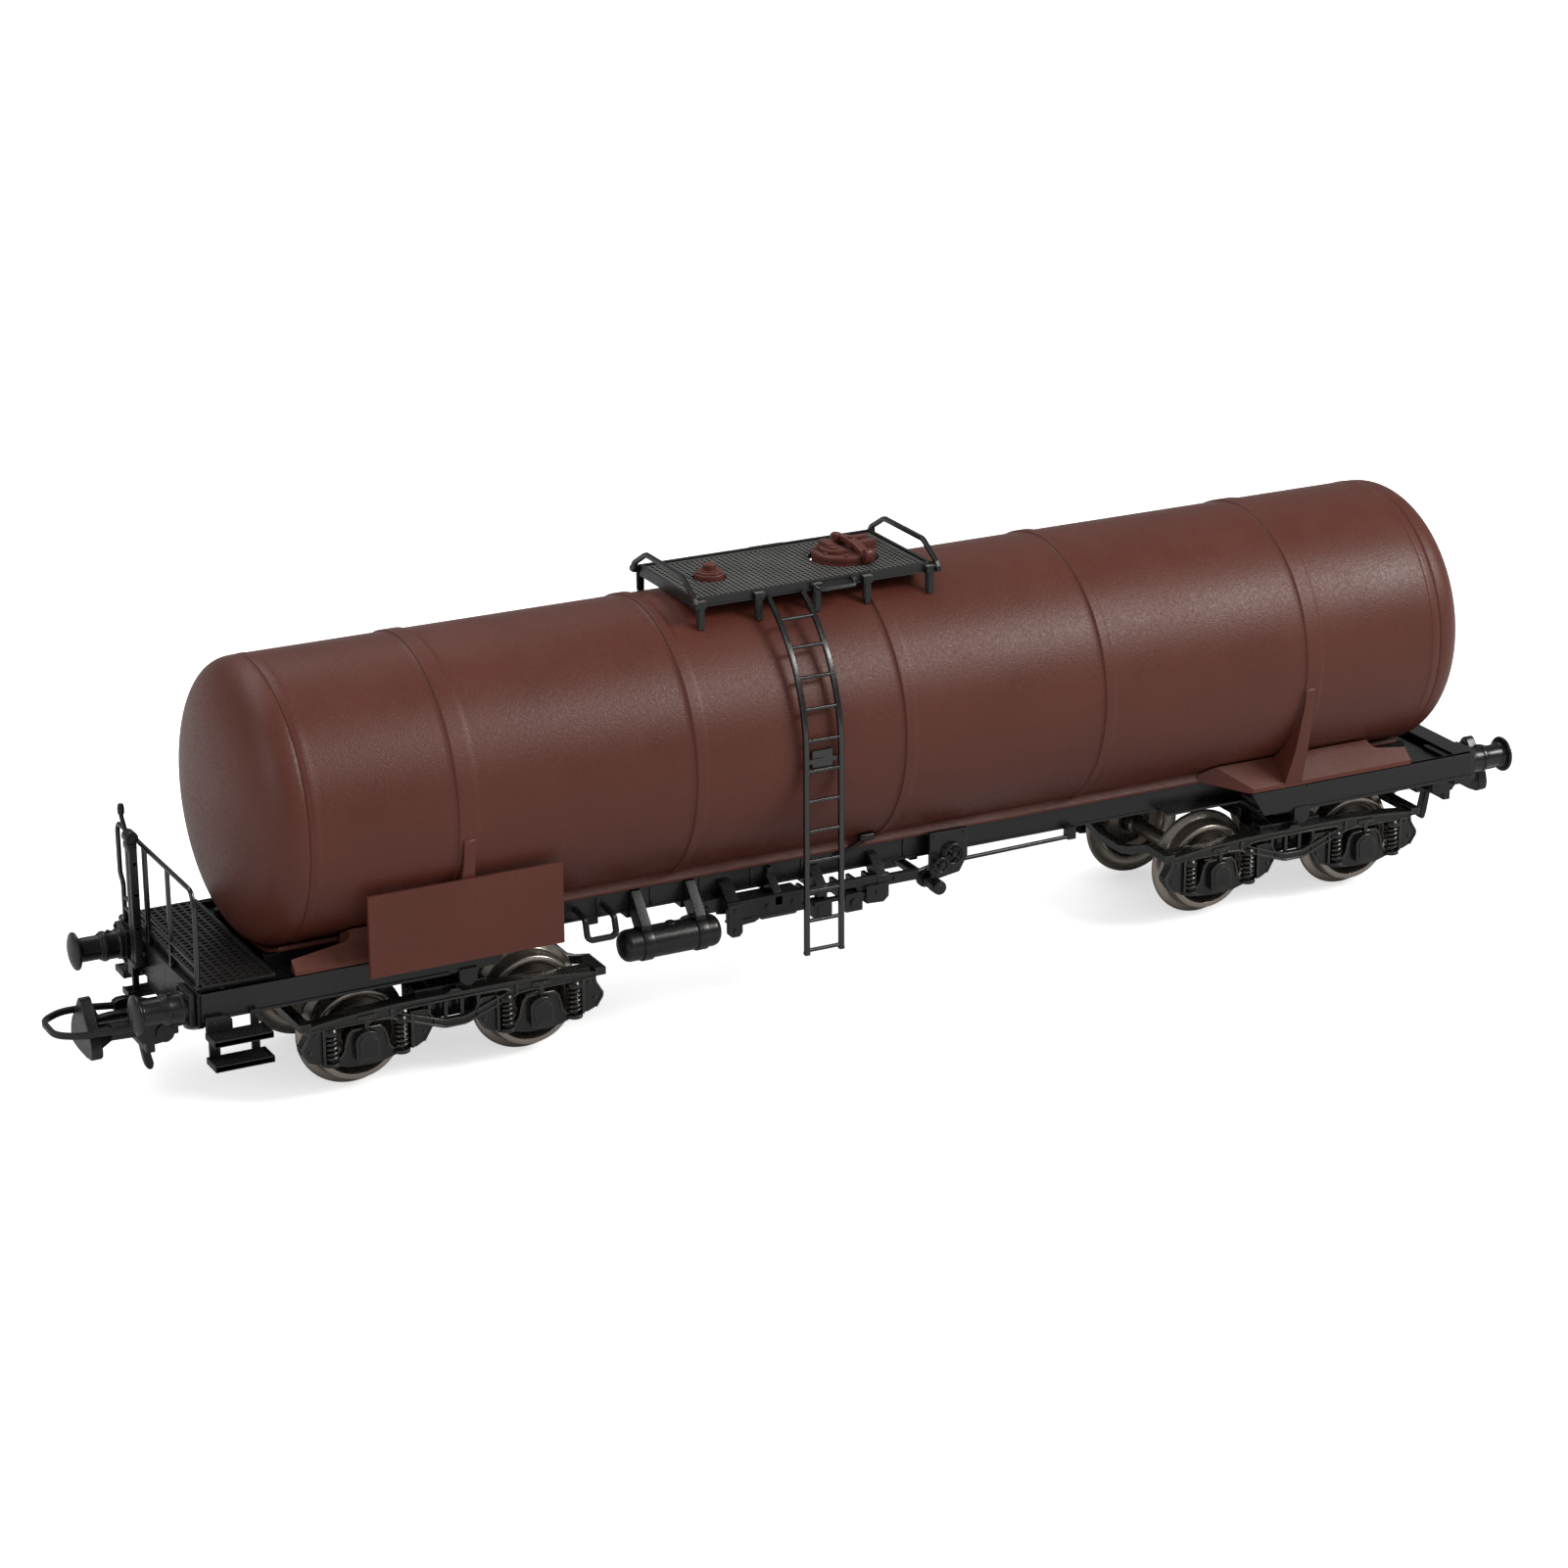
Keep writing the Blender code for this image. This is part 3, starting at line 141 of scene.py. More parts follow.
def turned(profile, axis, centre, seg=48, loop=False):
    """Spins a (radius, along) profile round an axis; loop closes it into a ring."""
    points, rings = [], []
    for radius, along in profile:
        if radius < 1e-6:
            rings.append([len(points)])
            points.append((0.0, 0.0, along))
        else:
            rings.append(list(range(len(points), len(points) + seg)))
            points += [(radius * math.cos(2 * math.pi * k / seg),
                        radius * math.sin(2 * math.pi * k / seg), along) for k in range(seg)]
    faces = []
    for a, b in list(zip(rings, rings[1:])) + ([(rings[-1], rings[0])] if loop else []):
        for k in range(seg):
            k2 = (k + 1) % seg
            if len(a) == 1 and len(b) == 1:
                continue
            if len(a) == 1:
                faces.append((a[0], b[k], b[k2]))
            elif len(b) == 1:
                faces.append((a[k], b[0], a[k2]))
            else:
                faces.append((a[k], b[k], b[k2], a[k2]))
    if not loop:
        faces += [tuple(ring) for ring in (rings[0], rings[-1]) if len(ring) > 1]
    turn = {"X": lambda p: (p[2], p[0], p[1]), "Y": lambda p: (p[1], p[2], p[0]),
            "Z": lambda p: p}[axis]
    return mesh_of([tuple(c + q for c, q in zip(centre, turn(p))) for p in points], faces)


def corner(before, at, after, reach, steps):
    """Points of a curve that rounds one corner, starting and ending reach away from it."""
    p0, p1 = at + (before - at).normalized() * reach, at + (after - at).normalized() * reach
    return [(1 - t) ** 2 * p0 + 2 * t * (1 - t) * at + t * t * p1
            for t in [s / steps for s in range(steps + 1)]]


def rounded(profile, radius, steps):
    """Rounds the corners of an open profile, so that a turned piece has no knife edges."""
    out = [profile[0]]
    for triple in zip(profile, profile[1:], profile[2:]):
        before, at, after = (Vector(p) for p in triple)
        back, ahead = before - at, after - at
        if (back.length < 1e-6 or ahead.length < 1e-6
                or back.angle(ahead) > math.radians(160)):
            out.append(tuple(at))
            continue
        reach = min(radius, 0.45 * back.length, 0.45 * ahead.length)
        out += [tuple(p) for p in corner(before, at, after, reach, steps)]
    out.append(profile[-1])
    return out


def lathe(profile, axis, centre, seg=48, edge=0.08, loop=False, steps=3):
    """A turned piece with rounded corners."""
    if loop:
        closed = [profile[-1]] + list(profile) + [profile[0]]
        return turned(rounded(closed, edge, steps)[1:-1], axis, centre, seg, loop=True)
    return turned(rounded(profile, edge, steps), axis, centre, seg)


def solid(radius, start, stop):
    return [(0, start), (radius, start), (radius, stop), (0, stop)]


def disc(axis, centre, radius, start, stop, seg=48, edge=0.08):
    return lathe(solid(radius, start, stop), axis, centre, seg, edge)


def ring(axis, centre, inner, outer, start, stop, seg, edge):
    profile = [(inner, start), (outer, start), (outer, stop), (inner, stop)]
    return lathe(profile, axis, centre, seg, edge, loop=True)


def bolt(x, y, z, radius, height, sign=1, axis="Y", seg=6):
    """A small bolt head standing on a face; axis and sign say which way it points."""
    foot, top = -0.15 * sign, height * sign
    profile = [(0, foot), (radius, foot), (radius, top * 0.8), (radius * 0.7, top), (0, top)]
    return lathe(profile, axis, (x, y, z), seg, 0.04, steps=2)


def sweep(path, section, closed=False):
    """Carries a section along a path, mitred at its corners."""
    path = [Vector(p) for p in path]
    n, m = len(path), len(section)
    dirs = [(path[(i + 1) % n] - path[i]).normalized() for i in range(n if closed else n - 1)]
    up = Vector((0, 0, 1)) if abs(dirs[0].z) < 0.9 else Vector((0, 1, 0))
    across = dirs[0].cross(up).normalized()
    points = []
    for i in range(n):
        if closed:
            before, after = dirs[i - 1], dirs[i]
        else:
            before, after = dirs[max(i - 1, 0)], dirs[min(i, n - 2)]
        tangent = (before + after).normalized()
        if i:
            turn = dirs[i - 1].rotation_difference(dirs[min(i, len(dirs) - 1)])
            across = turn @ across
        upward = across.cross(after).normalized()
        for a, b in section:
            offset = across * a + upward * b
            slide = -(offset.dot(tangent)) / max(after.dot(tangent), 1e-6)
            points.append(path[i] + offset + after * slide)
    faces = []
    for i in range(n if closed else n - 1):
        j = (i + 1) % n
        for k in range(m):
            k2 = (k + 1) % m
            faces.append((i * m + k, i * m + k2, j * m + k2, j * m + k))
    if not closed:
        faces += [tuple(range(m)), tuple(range((n - 1) * m, n * m))]
    return mesh_of([tuple(p) for p in points], faces)


def rod(path, radius, seg=10):
    angles = [2 * math.pi * (k + 0.5) / seg for k in range(seg)]
    return sweep(path, [(radius * math.cos(a), radius * math.sin(a)) for a in angles])


def flat_bar(path, width, height, edge, closed=False):
    """A bar of rectangular section with chamfered corners."""
    w, h = width / 2, height / 2
    c = min(edge, 0.4 * min(w, h))
    section = [(w - c, h), (c - w, h), (-w, h - c), (-w, c - h),
               (c - w, -h), (w - c, -h), (w, c - h), (w, h - c)]
    return sweep(path, section, closed)


def bend(path, radius, steps=5):
    """Rounds the corners of a path."""
    path = [Vector(p) for p in path]
    out = [path[0]]
    for before, at, after in zip(path, path[1:], path[2:]):
        reach = min(radius, 0.45 * (before - at).length, 0.45 * (after - at).length)
        out += corner(before, at, after, reach, steps)
    return out + [path[-1]]


def moved(mesh, matrix):
    mesh.transform(matrix)
    return mesh


def cut(mesh, *cutters):
    """The mesh with the cutters' shapes taken out of it."""
    scene = bpy.context.scene.collection
    base = bpy.data.objects.new("tmp_base", mesh)
    scene.objects.link(base)
    group = bpy.data.collections.new("tmp_group")
    temps = [bpy.data.objects.new("tmp_other", cutter) for cutter in cutters]
    for obj in temps:
        group.objects.link(obj)
    scene.children.link(group)
    mod = base.modifiers.new("cut", "BOOLEAN")
    mod.operation, mod.solver = "DIFFERENCE", "EXACT"
    mod.operand_type, mod.collection = "COLLECTION", group
    bpy.context.view_layer.update()
    graph = bpy.context.evaluated_depsgraph_get()
    result = bpy.data.meshes.new_from_object(base.evaluated_get(graph))
    for obj in temps + [base]:
        bpy.data.objects.remove(obj, do_unlink=True)
    bpy.data.collections.remove(group)
    return result


def joined(meshes):
    bm = bmesh.new()
    for mesh in meshes:
        bm.from_mesh(mesh)
    out = bpy.data.meshes.new("shape")
    bm.to_mesh(out)
    bm.free()
    return out


def pit_slab(x0, x1, y0, y1, z0, z1, pitch, bar, depth, diagonal=False):
    """A plate whose upper face is a grid of small sunk squares between raised bars."""
    nx, ny = max(1, round((x1 - x0) / pitch)), max(1, round((y1 - y0) / pitch))
    dx, dy = (x1 - x0) / nx, (y1 - y0) / ny
    points, faces, index = [], [], {}

    def vert(x, y, z):
        key = (round(x, 5), round(y, 5), round(z, 5))
        if key not in index:
            index[key] = len(points)
            points.append((x, y, z))
        return index[key]

    for i in range(nx):
        for j in range(ny):
            xa, ya = x0 + i * dx, y0 + j * dy
            xb, yb = xa + dx, ya + dy
            cx, cy = xa + dx / 2, ya + dy / 2
            if diagonal:
                k = 0.5 - bar / pitch * 0.5
                rim = [(cx, cy - dy * k), (cx + dx * k, cy), (cx, cy + dy * k), (cx - dx * k, cy)]
            else:
                lip = bar / 2
                rim = [(xa + lip, ya + lip), (xb - lip, ya + lip),
                       (xb - lip, yb - lip), (xa + lip, yb - lip)]
            low = [(cx + (x - cx) * 0.82, cy + (y - cy) * 0.82) for x, y in rim]
            outer = [vert(*p, z1) for p in [(xa, ya), (xb, ya), (xb, yb), (xa, yb)]]
            inner = [vert(*p, z1) for p in rim]
            floor = [vert(*p, z1 - depth) for p in low]
            for k in range(4):
                k2 = (k + 1) % 4
                if diagonal:
                    faces.append((outer[k], outer[k2], inner[k]))
                    faces.append((outer[k2], inner[k2], inner[k]))
                else:
                    faces.append((outer[k], outer[k2], inner[k2], inner[k]))
                faces.append((inner[k], inner[k2], floor[k2], floor[k]))
            faces.append(tuple(floor))
    edge = [vert(x0 + i * dx, y0, z1) for i in range(nx)]
    edge += [vert(x1, y0 + j * dy, z1) for j in range(ny)]
    edge += [vert(x1 - i * dx, y1, z1) for i in range(nx)]
    edge += [vert(x0, y1 - j * dy, z1) for j in range(ny)]
    under = [vert(points[i][0], points[i][1], z0) for i in edge]
    m = len(edge)
    for k in range(m):
        k2 = (k + 1) % m
        faces.append((edge[k], under[k], under[k2], edge[k2]))
    faces.append(tuple(under))
    return mesh_of(points, faces)


# ---------------------------------------------------------------- materials
NOISE_BAND = (0.3, 0.7)     # where most of a noise's values lie
BUMP_FINE, BUMP_COARSE = 0.00003, 0.00004   # bump distances in metres


def fill(tree, node, inputs):
    """Sets a node's inputs: a socket is linked, anything else is a value."""
    for key, value in dict(inputs).items():
        if isinstance(value, bpy.types.NodeSocket):
            tree.links.new(value, node.inputs[key])
        else:
            node.inputs[key].default_value = value


def add_node(tree, kind, inputs=(), **settings):
    node = tree.nodes.new("ShaderNode" + kind)
    for key, value in settings.items():
        setattr(node, key, value)
    fill(tree, node, inputs)
    return node


def tone(colour, factor=1.0):
    """A colour made darker or lighter, with full alpha."""
    return (*(c * factor for c in colour[:3]), 1.0)


class Shader:
    """One material, with short calls that add nodes to it."""

    def __init__(self, name):
        self.material = bpy.data.materials.new(name)
        self.material.use_nodes = True
        self.tree = self.material.node_tree
        self.coord = self.node("TexCoord").outputs["Object"]

    def node(self, kind, inputs=(), **settings):
        return add_node(self.tree, kind, inputs, **settings)

    def surface(self, inputs):
        fill(self.tree, self.tree.nodes["Principled BSDF"], inputs)

    def noise(self, scale, detail, rough=0.6, stretch=None):
        coord = self.coord
        if stretch:
            coord = self.node("Mapping", {"Vector": coord, "Scale": stretch}).outputs["Vector"]
        return self.node("TexNoise", {"Vector": coord, "Scale": scale, "Detail": detail,
                                      "Roughness": rough}).outputs["Fac"]

    def remap(self, value, source=NOISE_BAND, to=(0.0, 1.0)):
        return self.node("MapRange", {"Value": value, "From Min": source[0], "From Max": source[1],
                                      "To Min": to[0], "To Max": to[1]}).outputs["Result"]

    def mix(self, fac, a, b):
        return self.node("Mix", {0: fac, 6: a, 7: b}, data_type="RGBA").outputs[2]

    def shades(self, noise, colour, low, high):
        """A colour that wanders between two multiples of itself."""
        return self.mix(self.remap(noise), tone(colour, low), tone(colour, high))

    def math(self, kind, a, b=0.0):
        return self.node("Math", {0: a, 1: b}, operation=kind).outputs[0]

    def bump(self, height, strength, distance=BUMP_FINE, normal=None):
        inputs = {"Strength": strength, "Distance": distance, "Height": height}
        if normal:
            inputs["Normal"] = normal
        return self.node("Bump", inputs).outputs["Normal"]

    def split(self, vector):
        return self.node("SeparateXYZ", {0: vector}).outputs

    def up(self):
        """How far the surface faces up, 0 to 1."""
        normal = self.node("NewGeometry").outputs["Normal"]
        return self.remap(self.split(normal)["Z"], source=(0.1, 1.0))

    def edge(self, radius):
        """Mask of the painted edge highlight: 1 on outside edges, 0 on flat faces and in inside
        corners.
        """
        smooth = self.node("Bevel", {"Radius": radius}, samples=4).outputs["Normal"]
        true = self.node("NewGeometry").outputs["True Normal"]
        dot = self.node("VectorMath", {0: smooth, 1: true}, operation="DOT_PRODUCT")
        turn = self.remap(dot.outputs["Value"], source=(0.985, 0.86))
        open_air = self.node("AmbientOcclusion", {"Distance": 0.0005}, samples=4).outputs["AO"]
        return self.math("MULTIPLY", turn, self.remap(open_air, source=(0.70, 0.95)))

    def dusted(self, base, dust, scale, colour):
        """The base colour with patches of dust on upward faces."""
        patches = self.remap(self.math("MULTIPLY", self.up(), self.remap(
            self.noise(scale=scale, detail=5, rough=0.7), source=(0.35, 0.8), to=(0.0, dust)))) \
            if False else self.math("MULTIPLY", self.up(), self.remap(
                self.noise(scale=scale, detail=5, rough=0.7), source=(0.35, 0.8), to=(0.0, dust)))
        return self.mix(patches, base, tone(colour))

    def roughness(self, ripple, swing, blotch, low, high):
        """Roughness from low to high by the blotch, plus or minus a swing by the ripple."""
        return self.math("ADD", self.remap(ripple, to=(-swing, swing)),
                         self.remap(blotch, to=(low, high)))


def paint(name, colour, rough, grain=1.0, dust=0.10):
    """Satin paint over moulded plastic: fine grain, faint mottling and a trace of dust."""
    mat = Shader(name)
    mottle = mat.noise(scale=90, detail=4)
    fine = mat.noise(scale=2600, detail=2)
    speck = mat.noise(scale=7000, detail=2, rough=0.7)
    base = mat.shades(mottle, colour, low=0.90, high=1.10)
    specks = mat.remap(speck, source=(0.35, 0.75), to=(0.0, 0.32))
    base = mat.mix(specks, base, tone(colour, 1.55))
    base = mat.dusted(base, dust, scale=220, colour=(0.26, 0.20, 0.18))
    mat.surface({
        "Base Color": base,
        "Roughness": mat.roughness(fine, 0.07, mottle, low=rough - 0.04, high=rough + 0.04),
        "Specular IOR Level": 0.36})
    normal = mat.bump(speck, strength=0.5 * grain)
    normal = mat.bump(fine, strength=0.28 * grain, distance=BUMP_COARSE, normal=normal)
    mat.surface({"Normal": normal})
    return mat.material


def plastic(name, colour, rough, grain=1.0, dust=0.06, gloss=0.5, level=None,
            painted_edge_colour=(0.075, 0.074, 0.072), painted_edge_strength=0.6, edge=0.00011):
    """Moulded black plastic with fine texture, and outside edges painted paler as a painted
    highlight.

    level is the height, in mm, of the grating's bar tops, which get a painted highlight; edge is in
    metres.
    """
    mat = Shader(name)
    mottle = mat.noise(scale=140, detail=4)
    fine = mat.noise(scale=3200, detail=3)
    base = mat.shades(mottle, colour, low=0.82, high=1.18)
    base = mat.dusted(base, dust, scale=500, colour=(0.17, 0.165, 0.155))
    if level is not None:
        # painted highlight: upward faces at the bars' tops are painted paler, as where light from
        # above catches them
        height = mat.split(mat.coord)["Z"]
        above = mat.remap(height, source=((level - 0.10) * MM, (level - 0.03) * MM))
        below = mat.remap(height, source=((level + 0.08) * MM, (level + 0.12) * MM), to=(1.0, 0.0))
        lit_bar_tops = mat.math("MULTIPLY", above, below)
        patches = mat.math("MULTIPLY", mat.up(), mat.remap(
            mat.noise(scale=260, detail=5, rough=0.65), source=(0.25, 0.75), to=(0.55, 1.0)))
        base = mat.mix(mat.math("MULTIPLY", lit_bar_tops, patches), base, tone((0.135, 0.134, 0.129)))
    # painted highlight: outside edges are painted paler, standing in for the light they catch
    painted_edge_mask = mat.math("MULTIPLY", mat.edge(edge),
                    mat.remap(mat.noise(scale=700, detail=4), to=(painted_edge_strength * 0.6, painted_edge_strength)))
    mat.surface({
        "Base Color": mat.mix(painted_edge_mask, base, tone(painted_edge_colour)),
        "Roughness": mat.roughness(fine, 0.06, mottle, low=rough - 0.05, high=rough + 0.05),
        "Specular IOR Level": gloss,
        "Normal": mat.bump(fine, strength=0.16 * grain)})
    return mat.material


def turned_metal(name, rim, web, rim_start=4.25, rim_blend=0.15):
    """Rings about the wheel's axle (the object's Y axis), bright on the rim, dark in the dish."""
    mat = Shader(name)
    axes = mat.split(mat.coord)
    x2 = mat.math("MULTIPLY", axes["X"], axes["X"])
    z2 = mat.math("MULTIPLY", axes["Z"], axes["Z"])
    radius = mat.math("SQRT", mat.math("ADD", x2, z2))
    rings = mat.node("TexNoise", noise_dimensions="1D")
    fill(mat.tree, rings, {"W": radius, "Scale": 9000, "Detail": 4})
    rings = rings.outputs["Fac"]
    blotch = mat.noise(scale=420, detail=4, rough=0.65)
    mask = mat.remap(radius, source=(rim_start * MM, (rim_start + rim_blend) * MM))
    dark = mat.shades(blotch, web, low=0.75, high=1.3)
    bright = mat.shades(rings, rim, low=0.82, high=1.15)
    mat.surface({
        "Base Color": mat.mix(mask, dark, bright),
        "Metallic": 0.92,
        "Roughness": mat.roughness(rings, 0.05, blotch, low=0.24, high=0.32),
        "Normal": mat.bump(rings, strength=0.12)})
    return mat.material


def steel(name, colour, rough):
    mat = Shader(name)
    lines = mat.noise(scale=5200, detail=3, stretch=(1.0, 0.06, 1.0))
    blotch = mat.noise(scale=300, detail=4)
    mat.surface({
        "Base Color": mat.shades(blotch, colour, low=0.8, high=1.2),
        "Metallic": 0.95,
        "Roughness": mat.remap(lines, to=(rough - 0.08, rough + 0.08)),
        "Normal": mat.bump(lines, strength=0.2)})
    return mat.material


# Each finish is a material and the name of a slot.
BROWN = (0.087, 0.0214, 0.0132)
TANK = paint("tank_brown", BROWN, rough=0.41, grain=1.8, dust=0.04), "tank_brown"
TRIM = (paint("tank_brown_trim", tone(BROWN, 1.04), rough=0.46, grain=1.4, dust=0.16),
        "tank_brown")
PANEL = paint("panel_brown", tone(BROWN, 1.02), rough=0.58, grain=0.8), "tank_brown"
FITTING = paint("fitting_brown", (0.088, 0.0208, 0.0152), rough=0.38), "tank_brown"
# The paler edges set for the black plastics below are a painted highlight.
BLACK = (plastic("chassis_black", (0.0056, 0.0056, 0.0062), rough=0.31, dust=0.03),
         "chassis_black")
BOGIE_BLACK = (plastic("bogie_black", (0.0060, 0.0060, 0.0058), rough=0.25, dust=0.03, gloss=0.55,
                       painted_edge_colour=(0.13, 0.127, 0.12), painted_edge_strength=0.9, edge=0.00016), "chassis_black")
DECK = (plastic("walkway_black", (0.0066, 0.0068, 0.0068), rough=0.31, grain=0.9, dust=0.04,
                painted_edge_strength=0.45), "chassis_black")
# the grating's paler bar tops are a painted highlight
WALK = (plastic("walkway_grating", (0.0085, 0.0085, 0.0085), rough=0.35, grain=0.9, dust=0.05,
                level=WALK_DECK_Z), "chassis_black")
LADDER = (plastic("ladder_black", (0.0046, 0.0046, 0.0050), rough=0.19, grain=0.4, dust=0.02,
                  gloss=0.9, painted_edge_strength=0.2), "chassis_black")
WHEEL = (turned_metal("wheel_metal", rim=(0.40, 0.355, 0.315), web=(0.13, 0.108, 0.092)),
         "wheel_metal")
AXLE = steel("axle_steel", (0.28, 0.25, 0.22), rough=0.33), "axle_steel"
BALLAST = steel("ballast_steel", (0.22, 0.22, 0.22), rough=0.5)


# ---------------------------------------------------------------- putting a piece in the scene
def show(name, parts, finish, replaced, body="root", sharp=38, origin=(0.0, 0.0, 0.0)):
    """Joins shapes into one named piece that rides on a CAD body in place of a CAD node."""
    material, slot = finish
    mesh = joined(parts)
    bm = bmesh.new()
    bm.from_mesh(mesh)
    bmesh.ops.dissolve_degenerate(bm, edges=bm.edges, dist=1e-4)
    bm.to_mesh(mesh)
    bm.free()
    mesh.transform(Matrix.Scale(MM, 4) @ Matrix.Translation([-c for c in origin]))
    mesh.name = name
    mesh.materials.clear()
    mesh.materials.append(material)
    mesh.shade_smooth()
    mesh.set_sharp_from_angle(angle=math.radians(sharp))
    obj = bpy.data.objects.new(name, mesh)
    bpy.context.scene.collection.objects.link(obj)
    obj.location = [c * MM for c in origin]
    normal = obj.modifiers.new("flat_faces", "WEIGHTED_NORMAL")
    normal.keep_sharp = True
    bpy.context.view_layer.update()
    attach(obj, body)
    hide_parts(replaced)


# ---------------------------------------------------------------- tank
SHOULDER = 0.08
# rise of a band's shoulder: distance in shoulder widths, share of the band's height
SHOULDER_RISE = [(-1, 0), (-0.45, 0.12), (0, 0.55), (0.45, 0.92), (1, 1), (2.4, 1)]
SEAM_GROOVE = 0.03


def ridge(at, width, height):
    """Profile points of a flat raised band round the shell, with small rounded shoulders."""
    half = [(-width / 2 - 0.7, 0.0)]
    half += [(-width / 2 + SHOULDER * u, height * share) for u, share in SHOULDER_RISE]
    return ([(TANK_R + up, at + along) for along, up in half]
            + [(TANK_R + up, at - along) for along, up in reversed(half)])


def head_profile(side, n, radius, depth):
    out = []
    for k in range(n + 1):
        t = math.sin(math.pi / 2 * k / n)
        out.append((radius * t, side * depth * (1 - t ** DOME_POWER) ** (1 / DOME_POWER)))
    return out


def barrel():
    x0, x1 = TANK_X - SEAM, TANK_X + SEAM
    # bands round the shell: x, width, height
    bands = [(x0 + 0.85, 0.55, 0.05), (x1 - 0.85, 0.55, 0.05)]
    bands += [(TANK_X + k * RIB_PITCH, 1.15, 0.21) for k in (-1, 0, 1)]
    bands += [(TANK_X + k * BAND_REACH, 2.0, 0.18) for k in (-1, 1)]
    outer = [(TANK_R - SEAM_GROOVE, x0), (TANK_R, x0 + SEAM_GROOVE)]
    for band in sorted(bands):
        outer += [p for p in ridge(*band) if outer[-1][1] < p[1] < x1 - 0.05]
    outer += [(TANK_R, x1 - SEAM_GROOVE), (TANK_R - SEAM_GROOVE, x1)]
    inner = [(TANK_R - SHELL, x1), (TANK_R - SHELL, x0)]
    return turned(outer + inner, "X", (0, 0, TANK_Z), 200, loop=True)


def tank_head(end):
    seam = TANK_X + end * SEAM
    inside = TANK_R - SHELL
    outer = [(r, seam + end * 0.05 + a) for r, a in head_profile(end, 44, TANK_R, DOME)[:-1]]
    # the last points run into the seam groove
    outer += [(TANK_R, seam + end * 0.10), (TANK_R - SEAM_GROOVE, seam + end * 0.05)]
    lip = [(inside - 0.05, seam + end * 0.05), (inside - 0.05, seam - end * 2.0),
           (inside - SHELL, seam - end * 2.0)]
    dish = head_profile(end, 16, inside - SHELL, DOME - SHELL)
    inner = [(r, seam + a) for r, a in reversed(dish)]
    return turned(outer + lip + inner, "X", (0, 0, TANK_Z), 200)


show("tank_shell", [barrel()], TANK, "tank_barrel", sharp=60)
for end, end_name in ENDS:
    show(f"tank_head_{end_name}", [tank_head(end)], TANK, f"tank_end_{end_name}", sharp=60)


# ---------------------------------------------------------------- saddle and side panels
SADDLE_R0, SADDLE_R1, SADDLE_ANGLE = TANK_R + 0.18, TANK_R + 0.78, 30.5


def under_tank(y, radius):
    """Height of the underside of a circle about the tank's axis."""
    return TANK_Z - math.sqrt(radius * radius - y * y)


def under_arc(radius, start, stop, n=56):
    angles = [math.radians(start + (stop - start) * k / n) for k in range(n + 1)]
    return [(radius * math.cos(a), TANK_Z + radius * math.sin(a)) for a in angles]


def saddle_skirt(side, end):
    """Side skirt at one end, cut on a slant at its inner end and slotted near its outer end."""
    sheet = [(8.2, 17.0)] + [(y, under_tank(y, SADDLE_R0) - 0.03) for y in (9.3, 9.7, 10.1)]
    sheet += [(13.0, 16.38), (13.02, 15.84), (12.6, 15.82)]
    skirt = prism(place(sheet, flip=side), "X", TANK_X + end * 40.5,
                  TANK_X + end * (72.6 if end < 0 else 69.9), edge=0.0)
    # plan outlines of the cutters: distance from the tank's middle, distance from its axis
    slant = [(40.0, 7.6), (42.3, 7.6), (42.4, 8.7), (47.9, 13.3), (48.3, 14.2), (40.0, 14.2)]
    slot = [(74.5, 8.3), (66.0, 8.3), (65.9, 9.15)]
    slot += [(66.3 - 0.95 * math.sin(math.radians(a)), 10.15 - 1.0 * math.cos(math.radians(a)))
             for a in (20, 45, 70, 90, 110, 135, 160)]
    slot += [(66.6, 11.2), (74.5, 12.1)]
    knives = [prism([(TANK_X + end * x, side * y) for x, y in shape], "Z", 10, 25, edge=0.0)
              for shape in (slant, slot)]
    return bevelled(cut(skirt, *knives), 0.07, 2, 30)


def saddle_fin(side, end):
    """Gusset: a fin that flares towards its foot."""
    outline = [(9.3, 17.1), (12.95, 15.9), (14.6, 21.0), (15.75, 26.4), (16.04, 28.6)]
    outline += [(y, under_tank(y, SADDLE_R0 + 0.03))
                for y in (15.88, 15.5, 15.0, 14.2, 13.4, 12.6, 11.6, 10.4, 9.4)]
    fin = prism(place(outline, flip=side), "X", -1.0, 1.0, edge=0.0)
    middle = TANK_X + end * (53.15 if end > 0 else 53.4)
    for v in fin.vertices:
        rise = max(0.0, min(1.0, (v.co.z - 15.9) / 9.0))
        reach = 1.3 - 0.62 * rise ** 0.8
        inner = v.co.x * end < 0
        v.co.x = middle + (reach if v.co.x > 0 else -reach) * (1.0 if inner else 0.92)
    return bevelled(fin, 0.10, 2, 30)


def saddle():
    low, high = 270 - SADDLE_ANGLE, 270 + SADDLE_ANGLE
    cradle = under_arc(SADDLE_R1, low, high) + under_arc(SADDLE_R0, high, low)
    parts = [prism(cradle, "X", TANK_X - SEAM - 1.25, TANK_X + SEAM - 0.25,
                   edge=0.22, seg=3, angle=40)]
    # the side strip's outer face slopes, so that it looks up and outwards
    strip = [(7.6, 16.68), (8.75, 16.68), (8.81, 16.95), (8.12, 17.95)]
    strip += [(y, under_tank(y, SADDLE_R0 - 0.1) - 0.02) for y in (7.9, 7.6)]
    for side, _ in SIDES:
        parts.append(prism(place(strip, flip=side), "X", TANK_X - 64.5, TANK_X + 66.0, edge=0.06))
        for end, _ in ENDS:
            parts += [saddle_skirt(side, end), saddle_fin(side, end)]
    return parts


show("saddle", saddle(), TRIM, "tank_saddle")


